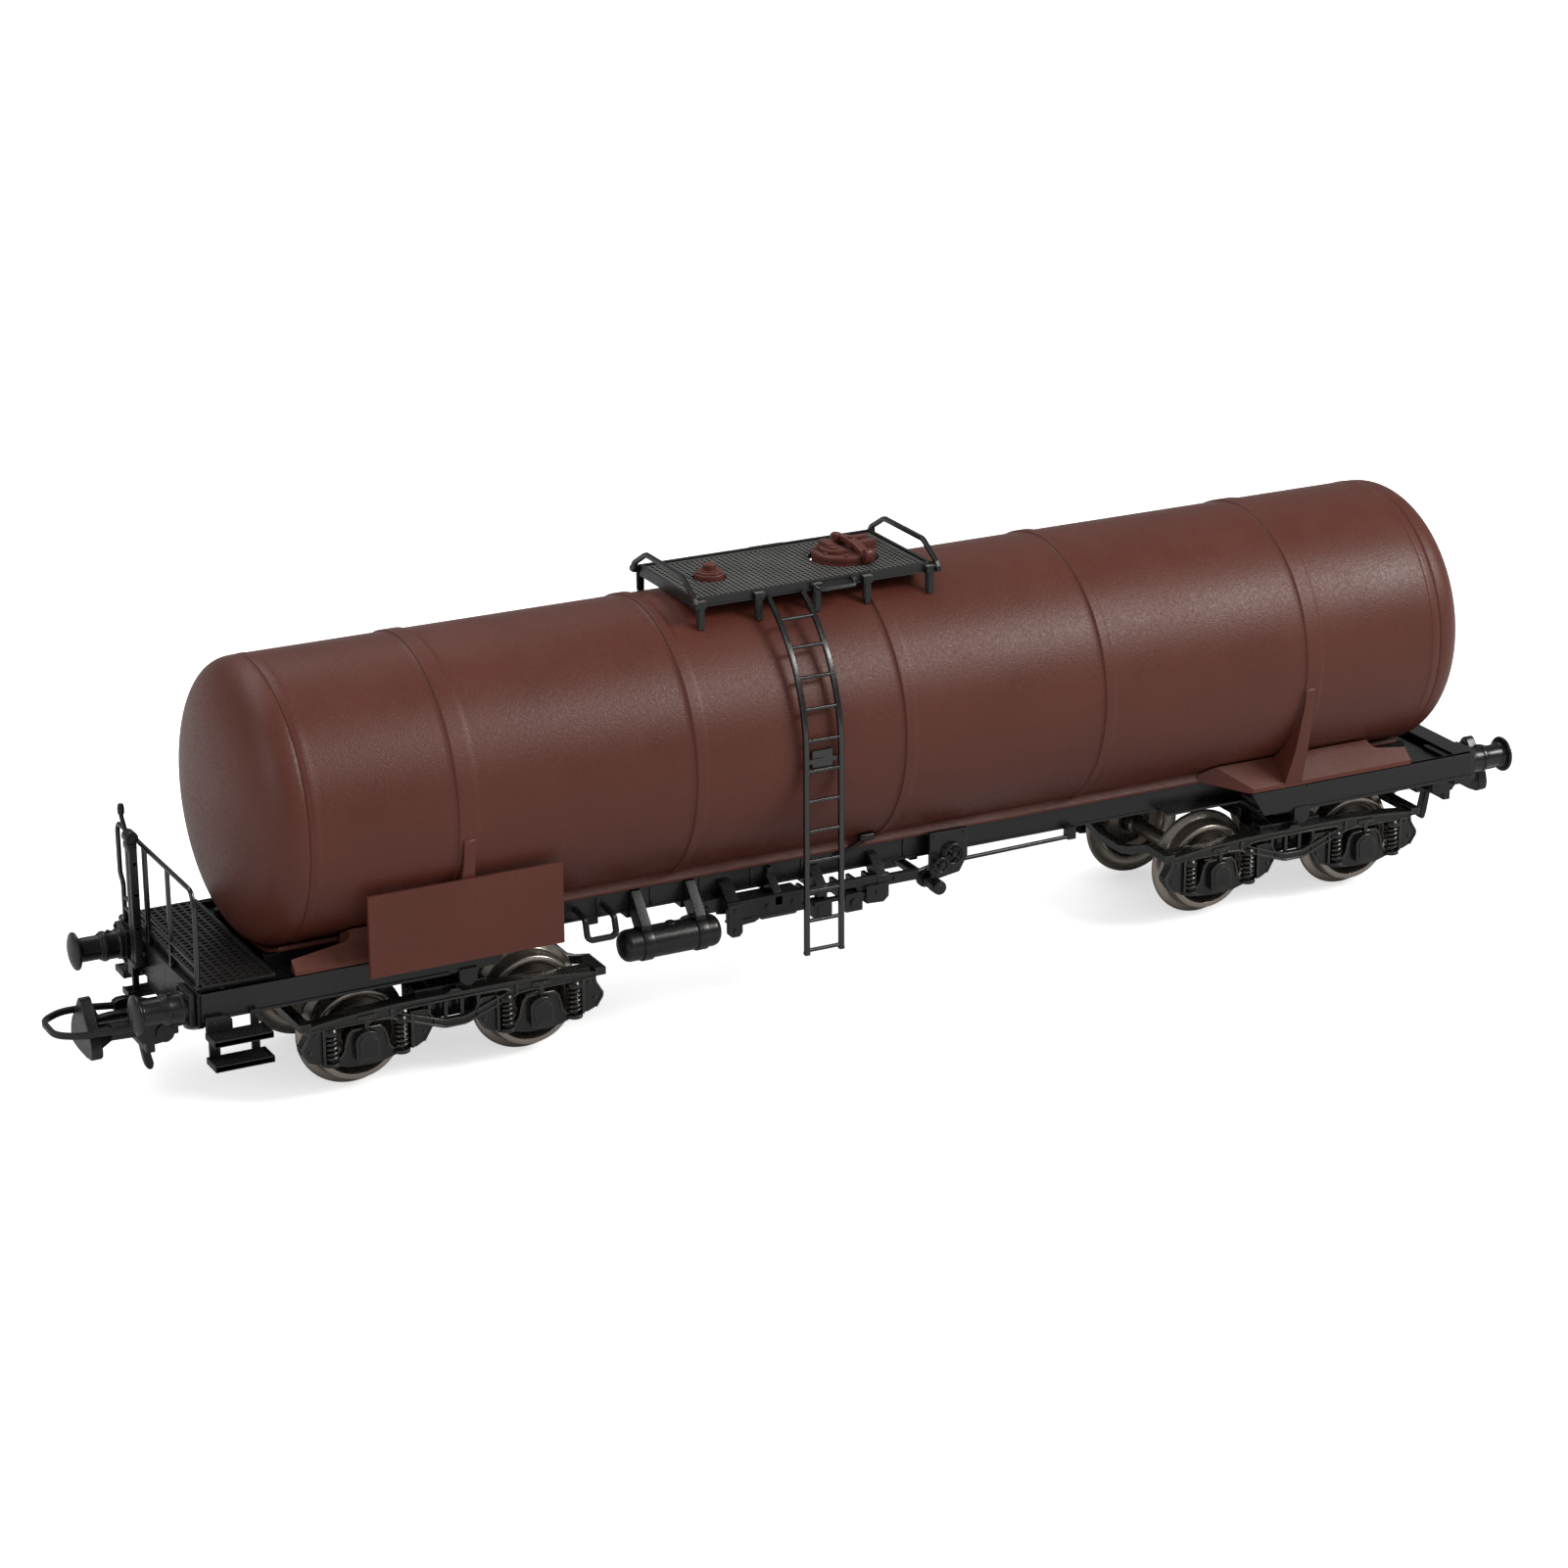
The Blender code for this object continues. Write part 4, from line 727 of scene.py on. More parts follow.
def sign_panel(side):
    rows = [(-63.1, -40.5, 15.75, 15.2, 15.0, 24.3, 0.08),
            (-62.3, -41.3, 15.25, 14.9, 15.5, 15.9, 0.04),
            (-62.3, -41.3, 15.25, 14.9, 23.4, 23.8, 0.04)]
    rows += [(x - 0.5, x + 0.5, 15.3, 13.2, 15.1, 15.9) for x in (-60.0, -52.6)]
    rows += [(x - 0.45, x + 0.45, 15.25, 14.55, 20.5, 21.4) for x in (-60.0, -43.6)]
    return boxes(rows, side)


for side, side_name in SIDES:
    show(f"panel_{side_name}", sign_panel(side), PANEL, f"sign_panel_{side_name}")

# ---------------------------------------------------------------- roof fittings
LEG_X = (-19.75, -12.6, -5.4, 0.9, 8.9)


def walkway():
    x0, x1, y1, z1, deck = WALK_X0, WALK_X1, WALK_Y, WALK_Z, WALK_DECK_Z
    slab = pit_slab(x0 + 0.3, x1 - 0.3, -y1 + 0.3, y1 - 0.3, z1 - 1.0, deck,
                    pitch=0.62, bar=0.2, depth=0.36)
    holes = [turned(solid(4.0, 46, 50), "Z", (HATCH_X, 0, 0), 64),
             turned(solid(1.9, 46, 50), "Z", (VALVE_X, 0, 0), 40)]
    parts = [cut(slab, *holes)]
    for side, _ in SIDES:
        # side channel: a web, a wider lip below it and a thin lip on the deck
        parts += boxes([
            (x0, x1, y1, y1 - 0.42, z1 - 1.05, z1),
            (x0 + 0.1, x1 - 0.1, y1 + 0.12, y1 - 0.3, z1 - 1.08, z1 - 0.86, 0.04),
            (x0 + 0.5, x1 - 0.5, y1 - 0.62, y1 - 0.85, deck - 0.05, deck + 0.07, 0.03)], side)
    parts += boxes([
        (x0, x0 + 0.42, -y1, y1, z1 - 1.05, z1),
        (x1 - 0.42, x1, -y1, y1, z1 - 1.05, z1),
        (x0 + 0.62, x0 + 0.85, -y1 + 0.5, y1 - 0.5, deck - 0.05, deck + 0.07, 0.03),
        (x1 - 0.85, x1 - 0.62, -y1 + 0.5, y1 - 0.5, deck - 0.05, deck + 0.07, 0.03)])
    foot = [(7.15, 47.7), (7.15, 48.25), (8.0, 48.25), (8.0, 45.15), (7.45, 45.42), (7.35, 47.2)]
    for x in LEG_X:
        for side, _ in SIDES:
            parts.append(rib(foot, x, 0.36, side))
            parts += boxes([(x - 0.58, x + 0.58, 7.25, 8.08, 47.55, 48.42, 0.08),
                            (x - 0.5, x - 0.3, 7.45, 7.85, 45.6, 47.7, 0.03)], side)
    # cross bars under the deck
    parts += boxes([(x - 0.35, x + 0.35, -7.2, 7.2, z1 - 1.35, z1 - 0.95, 0.05) for x in LEG_X])
    return parts


def hoop(x):
    path = bend([(x, -8.2, 47.85), (x, -7.75, 48.75), (x, -4.6, 50.55), (x, 4.6, 50.55),
                 (x, 7.75, 48.75), (x, 8.2, 47.85)], 0.35, 4)
    parts = [flat_bar(path, 0.56, 0.58, edge=0.12)]
    for side, _ in SIDES:
        parts += boxes([(x - 0.30, x + 0.30, 7.45, 8.5, 47.7, 48.3),
                        (x - 0.25, x + 0.25, 7.2, 7.75, 48.1, 48.75, 0.06)], side)
    return parts


def grab(side):
    path = bend([(-5.8, side * 7.43, 48.15), (-5.5, side * 8.95, 47.95),
                 (-1.2, side * 8.95, 47.95), (-0.8, side * 7.43, 48.15)], 0.4, 4)
    pads = [(x - 0.3, x + 0.3, 7.42, 7.7, 48.08, 48.5, 0.05) for x in (-5.8, -0.8)]
    return [flat_bar(path, 0.42, 0.36, edge=0.08)] + boxes(pads, side)


show("roof_walkway", walkway(), WALK, "walkway")
show("hoop_left", hoop(WALK_X0 - 0.33), DECK, "walkway_hoop_left")
show("hoop_right", hoop(WALK_X1 + 0.33), DECK, "walkway_hoop_right")
for side, side_name in SIDES:
    show(f"grab_{side_name}", grab(side), LADDER, f"side_grab_{side_name}")


LADDER_X, LADDER_HALF, LADDER_Y, LADDER_FOOT = -9.28, 2.16, 16.6, 8.4
# the stiles stand upright to this height, then curve over the tank
LADDER_BEND_Z, LADDER_BEND_R, LADDER_BEND_ANGLE = 32.0, 18.0, 59.5
RUNG_PITCH = 3.52


def ladder(side):
    rise = LADDER_BEND_Z - LADDER_FOOT
    total = rise + LADDER_BEND_R * math.radians(LADDER_BEND_ANGLE)

    def centre(t):
        """(y, z) at a length t up the ladder."""
        if t <= rise:
            return (side * LADDER_Y, LADDER_FOOT + t)
        a = (t - rise) / LADDER_BEND_R
        return (side * (LADDER_Y - LADDER_BEND_R * (1 - math.cos(a))),
                LADDER_BEND_Z + LADDER_BEND_R * math.sin(a))

    curve = [rise + LADDER_BEND_R * math.radians(a) for a in range(3, 58, 3)]
    stations = [0.0, rise * 0.5, rise] + curve + [total]
    parts = []
    for x in (LADDER_X - LADDER_HALF, LADDER_X + LADDER_HALF):
        parts.append(flat_bar([(x, *centre(t)) for t in stations], 0.58, 0.66, edge=0.14))
        parts += boxes([(x - 0.32, x + 0.32, LADDER_Y - 0.36, LADDER_Y + 0.30,
                         LADDER_FOOT - 0.12, LADDER_FOOT + 0.30, 0.08)], side)
    t = 0.42
    while t < total - 1.5:
        y, z = centre(t)
        parts.append(rod([(LADDER_X - LADDER_HALF, y, z), (LADDER_X + LADDER_HALF, y, z)], 0.23, 12))
        t += RUNG_PITCH
    # stand-off block beside the tank, and the bar that joins it to the stiles
    parts += boxes([(LADDER_X - 1.3, LADDER_X + 1.3, LADDER_Y - 0.62, LADDER_Y - 0.18,
                     29.9, 32.2, 0.12),
                    (LADDER_X - LADDER_HALF, LADDER_X + LADDER_HALF, LADDER_Y - 0.35,
                     LADDER_Y - 0.05, 30.7, 31.3, 0.06)], side)
    return parts


for side, side_name in SIDES:
    show(f"ladder_side_{side_name}", ladder(side), LADDER, f"ladder_{side_name}")


def safety_valve():
    """An eight-sided body with a round flange below and a turned cap above."""
    centre = (VALVE_X, 0, 0)
    body = [(0, 47.6), (1.58, 47.6), (1.58, 49.1), (1.50, 49.2), (0, 49.2)]
    flange = [(0, 47.6), (1.71, 47.6), (1.71, 48.85), (1.6, 48.95), (0, 48.95)]
    cap = [(0, 49.1), (0.76, 49.1), (0.76, 49.85), (0.70, 49.98), (0.3, 50.0), (0, 50.0)]
    return [lathe(body, "Z", centre, 8, 0.1), lathe(flange, "Z", centre, 48),
            lathe(cap, "Z", centre, 40, 0.1), disc("Z", centre, 1.05, 49.1, 49.32, 40, 0.05)]


show("relief_valve", safety_valve(), FITTING, "safety_valve", sharp=35)


# The lid and clamp are drawn wide and low, then squeezed onto the neck.
HATCH_SQUEEZE = (Matrix.Translation((HATCH_X, 0, 48.62))
                 @ Matrix.Diagonal((0.895, 0.895, 1.42, 1.0))
                 @ Matrix.Translation((-HATCH_X, 0, -49.36)))


def hatch_neck():
    profile = [(3.64, 48.6), (3.64, 47.3), (2.9, 47.3), (2.9, 48.6)]
    return [lathe(profile, "Z", (HATCH_X, 0, 0), 96, 0.05, loop=True)]


def hatch_lid():
    x = HATCH_X
    dish = [(0, 49.36), (4.12, 49.36), (4.12, 49.72), (3.9, 49.86), (3.45, 49.88),
            (3.3, 49.78), (0, 49.78)]
    parts = [lathe(dish, "Z", (x, 0, 0), 96)]
    # raised half-round pad on the left of the lid
    pad = [(x - 0.55, -2.0)]
    pad += [(x - 0.9 + 2.3 * math.cos(math.radians(a)), 2.3 * math.sin(math.radians(a)))
            for a in range(240, 119, -12)]
    pad.append((x - 0.55, 2.0))
    parts.append(prism(pad, "Z", 49.6, 50.12, edge=0.1))
    parts.append(disc("Z", (x - 1.9, -0.6, 0), 0.62, 50.0, 50.28, 24))
    # hinge blocks and bridge on the right
    parts += boxes([(x + 1.75, x + 3.9, -1.6, -0.5, 49.6, 50.5, 0.16),
                    (x + 1.75, x + 3.9, 0.7, 1.7, 49.6, 50.5, 0.16),
                    (x + 3.0, x + 3.55, -1.2, 1.3, 49.7, 50.3, 0.12)])
    parts.append(disc("Z", (x + 2.4, 0.1, 0), 0.42, 49.7, 50.05, 20, 0.06))
    for k in range(8):
        a = math.radians(22.5 + 45 * k)
        centre = (x + 3.62 * math.cos(a), 3.62 * math.sin(a), 0)
        parts.append(disc("Z", centre, 0.30, 49.6, 50.0, 12, 0.07))
    return parts


def hatch_clamp():
    """An arched bar across the lid, with a rolled eye at its near end and a block at its far."""
    x = HATCH_X + 1.05
    bar = [(-4.55, 49.95), (-3.6, 50.22), (-1.6, 50.55), (1.2, 50.62), (3.2, 50.35), (4.35, 50.0),
           (4.35, 49.55), (3.2, 49.85), (1.2, 50.1), (-1.6, 50.05), (-3.6, 49.75), (-4.55, 49.5)]
    eye = (0, -4.45, 49.85)
    post = [(0, 49.6), (0.55, 49.6), (0.55, 50.62), (0.4, 50.75), (0, 50.75)]
    parts = [rib(bar, x, 0.62, edge=0.14),
             disc("X", eye, 0.62, x - 0.48, x + 0.48, 24, 0.1),
             disc("X", eye, 0.30, x - 0.62, x + 0.62, 16, 0.06),
             lathe(post, "Z", (x - 0.9, 2.55, 0), 20, 0.1)]
    parts += boxes([(x - 1.6, x + 0.1, 2.1, 3.0, 49.7, 50.2, 0.12),
                    (x - 0.7, x + 0.7, 3.5, 4.5, 49.3, 50.35, 0.14),
                    (x - 3.4, x - 2.3, -0.4, 2.4, 49.6, 50.45, 0.18)])
    parts.append(disc("Z", (x, 0.2, 0), 0.36, 50.4, 50.76, 6, 0.05))
    return parts


show("hatch_neck", hatch_neck(), FITTING, "manhole_neck")
for name, parts in (("lid", hatch_lid()), ("clamp", hatch_clamp())):
    squeezed = [moved(part, HATCH_SQUEEZE) for part in parts]
    show(f"hatch_{name}", squeezed, FITTING, f"manhole_{name}")


# ---------------------------------------------------------------- underframe
def channel(inner, outer, side):
    """A solebar with a lip along its top and bottom, its inner end cut on a slant."""
    end = 1 if outer > inner else -1
    foot = FRAME_Z0 + 0.05
    web = [(inner, FRAME_Z1), (inner + end * 1.75, foot), (outer, foot), (outer, FRAME_Z1)]
    start = inner + end * 7.6
    return [prism(web, "Y", side * 12.3, side * 12.98)] + boxes([
        (start, outer, 12.0, 13.16, FRAME_Z0 - 0.02, FRAME_Z0 + 0.30, 0.05),
        (start, outer, 12.4, 13.10, FRAME_Z1 - 0.26, FRAME_Z1, 0.05)], side)


def frame_side(side):
    # centre sill: deep web, top flange under the saddle strip and a narrow lower lip
    rows = [(-72.0, 74.5, 7.1, 7.95, 13.9, 16.62, 0.06),
            (-50.0, 52.0, 7.3, 8.2, 16.3, 16.62, 0.05),
            (-50.0, 52.0, 7.0, 8.12, 13.85, 14.1, 0.04)]
    # stiffening ribs on the web
    rows += [(x - 0.16, x + 0.16, 7.8, 8.12, 14.0, 16.4, 0.03)
             for x in (-46, -39.5, -33, -26.5, -20.4, -14, -7.6, 5.5)]
    parts = boxes(rows, side)
    parts += channel(-45.4, -BEAM_X + 0.3, side) + channel(49.5, BEAM_X - 0.5, side)
    # cross members: x, width
    for x, width in ((-79.0, 1.2), (-72.6, 1.0), (-63.0, 0.8), (-47.3, 0.8), (51.4, 0.8),
                     (66.8, 0.8), (78.4, 1.3)):
        half = width / 2
        parts += boxes([(x - half, x + half, 7.2, 12.6, 13.4, 15.45, 0.06),
                        (x - half - 0.35, x + half + 0.35, 7.2, 12.5, 13.2, 13.5, 0.05)], side)
    bolster = [(7.2, 13.5), (12.6, 13.9), (12.6, 15.5), (7.2, 15.6)]
    tip = [(-1.05, 13.1), (1.05, 13.1), (1.05, 11.75), (0.35, 11.1), (-0.35, 11.1), (-1.05, 11.75)]
    for x, bearer in zip(PIVOTS.values(), BEARERS):
        # body bolster and the pointed side bearer that hangs over the bogie side
        parts.append(rib(bolster, x, 2.6, side, 0.08))
        parts.append(prism(place(tip, bearer), "Y", side * 12.0, side * 13.28, 0.08))
        # plate over the bearer, and the pad over the bogie's bolster
        parts += boxes([(bearer - 1.3, bearer + 1.3, 11.6, 13.0, 12.9, 13.4, 0.06),
                        (x - 1.2, x + 1.2, 8.5, 10.4, 12.75, 13.6, 0.06)], side)
    # floor plates between sill and solebars at each end
    parts += boxes([(57.5, 77.7, 7.6, 12.4, 14.75, 15.0, 0.04),
                    (-77.5, -55.0, 7.6, 12.4, 14.75, 15.0, 0.04)], side)
    return parts


def headstock(end):
    """An outer web with a deep channel behind it, a draw plate and the coupler's pocket."""
    x, z0, z1 = BEAM_X, BEAM_Z0, BEAM_Z1
    rows = [(x - 0.62, x, -12.55, 12.55, z0, z1 - 0.1),
            (x - 2.7, x - 0.02, -12.75, 12.75, z1 - 0.38, z1),
            (x - 2.5, x - 0.1, -11.9, 11.9, z0, z0 + 0.35, 0.06),
            (x - 2.7, x - 2.3, -12.5, 12.5, z0 + 1.0, z1 - 0.1, 0.06)]
    rows += [(x - 2.6, x - 0.2, y - 0.18, y + 0.18, z0 + 0.1, z1 - 0.2, 0.04)
             for y in (-12.35, -5.2, 5.2, 12.35)]
    rows += [(x - 0.2, x + 0.02, -2.3, 2.3, 12.3, 15.3, 0.05),
             (72.4, x - 0.2, -4.6, 4.6, 10.35, 11.85, 0.10),
             (73.2, x - 0.3, -1.4, 1.4, 11.7, 13.8, 0.08)]
    rows += [(73.5, x - 0.6, side * 3.9, side * 4.5, 11.6, 13.7, 0.06) for side, _ in SIDES]
    return boxes(rows, end=end)


def underframe():
    parts = [box(-80.6, 80.6, -7.3, 7.3, 13.6, 14.2, 0.05)]
    bed = [(-7.2, 14.0), (7.2, 14.0)]
    bed += [(y, under_tank(y, TANK_R + 0.86)) for y in (7.2, 5.0, 2.5, 0.0, -2.5, -5.0, -7.2)]
    parts.append(prism(bed, "X", -68.5, 72.5, edge=0.0))
    for side, _ in SIDES:
        parts += frame_side(side)
    for side, _ in SIDES:
        parts += boxes([(39.5, 50.5, 7.0, 10.4, 13.9, 14.2, 0.06)], side)
    parts.append(box(73.0, 77.7, -7.6, 7.6, 14.75, 15.0, 0.04))
    for end, _ in ENDS:
        parts += headstock(end)
    for x in PIVOTS.values():
        parts.append(ring("Z", (x, 0, 0), 1.08, 3.2, 12.8, 14.0, 40, 0.08))
    # cross members below the sill between the bogies: x, width
    for x, width in ((-33.4, 1.2), (-28.85, 1.0), (-22.15, 1.0), (-17.6, 1.1), (-6.5, 1.4),
                     (2.2, 1.2)):
        parts.append(box(x - width / 2, x + width / 2, -7.6, 7.6, 12.9, 14.0, 0.06))
    parts += boxes([(x - 0.5, x + 0.5, -7.3, 7.3, 13.2, 13.9, 0.05) for x in (-12.0, 7.2)])
    bracket = [(7.9, 14.0), (7.9, 16.2), (8.75, 16.2), (8.4, 14.4)]
    parts += [rib(bracket, -12.0, 0.3, side, 0.05) for side, _ in SIDES]
    return parts


show("frame", underframe(), BLACK, "underframe")


def buffer(end, side):
    x = BEAM_X + 0.04
    y, z = side * BUFFER_Y, BUFFER_Z
    # stock, stem and domed head: radius, x
    profile = [
        (0, x + 0.5), (1.74, x + 0.5), (1.74, x + 1.15), (1.58, x + 1.25), (1.58, x + 2.45),
        (1.70, x + 2.5), (1.70, x + 2.9), (1.52, x + 3.0), (1.52, x + 3.2), (1.36, x + 3.3),
        (1.36, BUFFER_X - 1.2), (1.5, BUFFER_X - 0.95), (2.08, BUFFER_X - 0.82),
        (2.16, BUFFER_X - 0.64), (2.10, BUFFER_X - 0.45), (1.65, BUFFER_X - 0.24),
        (1.1, BUFFER_X - 0.09), (0.55, BUFFER_X - 0.02), (0, BUFFER_X)]
    parts = [box(end * x, end * (x + 0.72), y - 1.92, y + 1.92, z - 1.92, z + 1.92, 0.12),
             lathe([(r, end * a) for r, a in profile], "X", (0, y, z), 56, 0.07),
             disc("Z", (end * (x + 2.1), y, 0), 0.22, z + 1.4, z + 1.78, 14, 0.05)]
    parts += [bolt(end * (x + 0.72), y + dy, z + dz, 0.27, 0.2, end, "X")
              for dy in (-1.5, 1.5) for dz in (-1.5, 1.5)]
    return parts


for end, end_name in ENDS:
    for side, side_name in SIDES:
        show(f"buffer_stock_{end_name}_{side_name}", buffer(end, side), BLACK,
             f"buffer_{end_name}_{side_name}")


# ---------------------------------------------------------------- brake platform, left end
RAIL_X, RAIL_TOP = -81.05, 26.9
COLUMN_X, COLUMN_Y, CRANK_Z = -82.15, 4.5, 27.85


def platform():
    parts = [pit_slab(-80.35, -72.85, -11.9, 11.9, DECK_Z - 0.38, DECK_Z,
                      pitch=0.92, bar=0.32, depth=0.2)]
    for side, _ in SIDES:
        parts += boxes([(-80.7, -72.5, 11.85, 12.2, DECK_Z - 0.42, DECK_Z + 0.03, 0.05)], side)
    parts += boxes([(-80.72, -80.3, -12.15, 12.15, DECK_Z - 0.42, DECK_Z + 0.35, 0.06),
                    (-72.9, -72.5, -12.15, 12.15, DECK_Z - 0.42, DECK_Z + 0.16, 0.05)])
    return parts


def railing():
    x, top, foot = RAIL_X, RAIL_TOP, BEAM_Z1 + 0.02
    near = bend([(x, -11.75, foot), (x, -12.05, 19.5), (x, -12.1, 25.3), (x, -11.3, top),
                 (x, 0, top)], 0.7, 6)
    far = bend([(x, 0, top), (x, 11.6, top), (x, 12.1, 26.2), (x, 12.05, 21.0), (x, 11.2, 20.1),
                (x, 11.2, foot)], 0.45, 6)
    parts = [rod(near, 0.28, 12), rod(far, 0.28, 12)]
    parts += boxes([(x - 0.24, x + 0.22, 2.95, 3.75, foot, top + 0.05, 0.10),
                    (x - 0.24, x + 0.24, -4.15, -3.65, foot, top - 0.05, 0.09)])
    parts += [rod([(x, -11.85, z), (x, 11.3, z)], 0.21, 12) for z in (17.3, 18.55)]
    parts += boxes([(x - 0.3, x + 0.3, y - 0.42, y + 0.42, foot, foot + 0.45)
                    for y in (-11.75, 11.2, 3.35, -3.9)])
    return parts


def brake_column():
    x, y = COLUMN_X, COLUMN_Y
    parts = boxes([(x - 0.5, x + 0.42, y - 0.95, y + 0.72, 13.0, 26.9, 0.12),
                   (x - 0.56, x + 0.44, y - 0.22, y + 0.22, 13.4, 26.2, 0.06),
                   (x - 0.62, x + 0.48, y - 0.85, y + 0.85, 26.5, 27.3, 0.14),
                   (x - 0.66, -81.45, y - 1.0, y + 0.95, 12.97, 13.6, 0.10),
                   (x - 0.3, -81.45, y - 0.6, y + 0.6, 14.6, 15.2, 0.06)])
    parts += [disc("Y", (x, 0, z), 0.26, y - 0.95, y - 0.6, 12, 0.05) for z in (17.6, 21.4, 25.0)]
    parts.append(disc("Y", (x, 0, CRANK_Z), 0.74, y - 0.75, y + 0.85, 28, 0.12))
    parts.append(disc("Y", (x, 0, CRANK_Z), 0.34, y - 1.05, y - 0.7, 16, 0.07))
    return parts


def brake_crank():
    x, y = COLUMN_X, COLUMN_Y
    path = bend([(x, y + 0.9, CRANK_Z), (x, y + 1.25, CRANK_Z), (x, y + 2.6, 29.4),
                 (x, y + 2.6, 30.8)], 0.3, 5)
    grip = [(0, 29.6), (0.36, 29.6), (0.40, 30.2), (0.34, 30.75), (0, 30.8)]
    return [rod(path, 0.26, 12), lathe(grip, "Z", (x, y + 2.6, 0), 18, 0.1),
            disc("Y", (x, 0, CRANK_Z), 0.4, y + 0.86, y + 1.25, 18, 0.06)]


def steps(side):
    """Two treads hung from the frame, one above the other."""
    inner, outer = 13.25, 16.2
    y0, y1 = sorted((side * inner, side * outer))
    parts = []
    for z in (8.6, 11.4):
        low, high = z - 0.62, z + 0.12
        parts.append(pit_slab(-80.95, -74.45, y0, y1, z - 0.5, z, pitch=0.55, bar=0.22, depth=0.14))
        parts += boxes([(-81.0, -74.4, outer - 0.28, outer, low, high),
                        (-81.0, -74.4, inner + 0.02, inner + 0.3, low, high, 0.06),
                        (-81.0, -80.7, inner, outer, low, high, 0.05),
                        (-74.7, -74.4, inner, outer, low, high, 0.05)], side)
    hanger = [(-80.9, 13.25), (-79.0, 13.25), (-78.0, 12.7), (-78.0, 11.2), (-79.5, 10.9),
              (-79.5, 8.1), (-80.7, 8.1), (-80.7, 11.0), (-80.95, 11.3), (-80.95, 13.0)]
    parts.append(prism(hanger, "Y", side * (inner - 0.02), side * (inner + 0.42), 0.08))
    parts += boxes([(-75.95, -75.05, inner - 0.02, inner + 0.42, 8.1, 13.25, 0.08)], side)
    parts += [bolt(x, side * (inner + 0.42), 12.5, 0.24, 0.15, side) for x in (-80.1, -75.5)]
    return parts


def shunter_step():
    tread = pit_slab(-83.0, -79.0, 5.5, 7.6, 9.0, 9.5, pitch=0.6, bar=0.26, depth=0.12,
                     diagonal=True)
    return [tread] + boxes([(-83.05, -79.0, 5.45, 5.7, 8.85, 9.6, 0.05),
                            (-83.05, -82.8, 5.45, 7.6, 8.85, 9.6, 0.05),
                            (-82.3, -81.6, 5.85, 6.45, 9.3, 11.6, 0.08),
                            (-82.35, -81.45, 5.8, 7.4, 11.2, 12.9, 0.10)])


show("platform_deck", platform(), DECK, "brake_platform")
show("platform_rail", railing(), LADDER, "platform_railing")
show("brake_stand", brake_column(), BLACK, "brake_column")
show("crank_handle", brake_crank(), BLACK, "brake_crank")
for side, side_name in SIDES:
    show(f"step_{side_name}", steps(side), BLACK, f"step_left_{side_name}")
show("shunter_tread", shunter_step(), BLACK, "shunter_step")


# ---------------------------------------------------------------- gear under the sill, near side
SILL_FACE = -8.06
PLATE_X0, PLATE_X1, PLATE_Y = 8.2, 12.9, -9.7


def reservoir():
    y, z, radius = -10.4, 10.83, 1.83
    x0, x1 = -31.6, -19.4
    # domed end: radius, distance in from the end
    dome = [(0, 0.0), (0.8, 0.04), (1.35, 0.22), (1.7, 0.55), (radius, 1.0)]
    profile = [(r, x0 + a) for r, a in dome] + [(r, x1 - a) for r, a in reversed(dome)]
    parts = [lathe(profile, "X", (0, y, z), 64, 0.15)]
    # sloping hanger plate from the top of the sill down to its strap
    hanger = [(-11.2, 12.2), (-9.4, 12.0), (SILL_FACE, 13.6), (SILL_FACE, 16.4), (-8.5, 16.4),
              (-11.3, 13.1)]
    for x in (-28.6, -21.9):
        parts.append(ring("X", (0, y, z), radius - 0.1, radius + 0.18, x - 0.62, x + 0.62,
                          64, 0.07))
        parts.append(rib(hanger, x, 0.62, edge=0.08))
    cap = [(0, 12.2), (0.6, 12.2), (0.6, 12.75), (0.35, 12.85), (0, 12.85)]
    pipe = bend([(-24.0, y, 12.2), (-24.0, y, 12.9), (-20.5, y + 0.4, 13.2),
                 (-19.9, -8.3, 13.4)], 0.4, 4)
    parts += [lathe(cap, "Z", (-25.3, y, 0), 20),
              disc("X", (0, y, z), 0.45, x1 - 0.1, x1 + 0.05, 16, 0.04), rod(pipe, 0.16, 8)]
    return parts


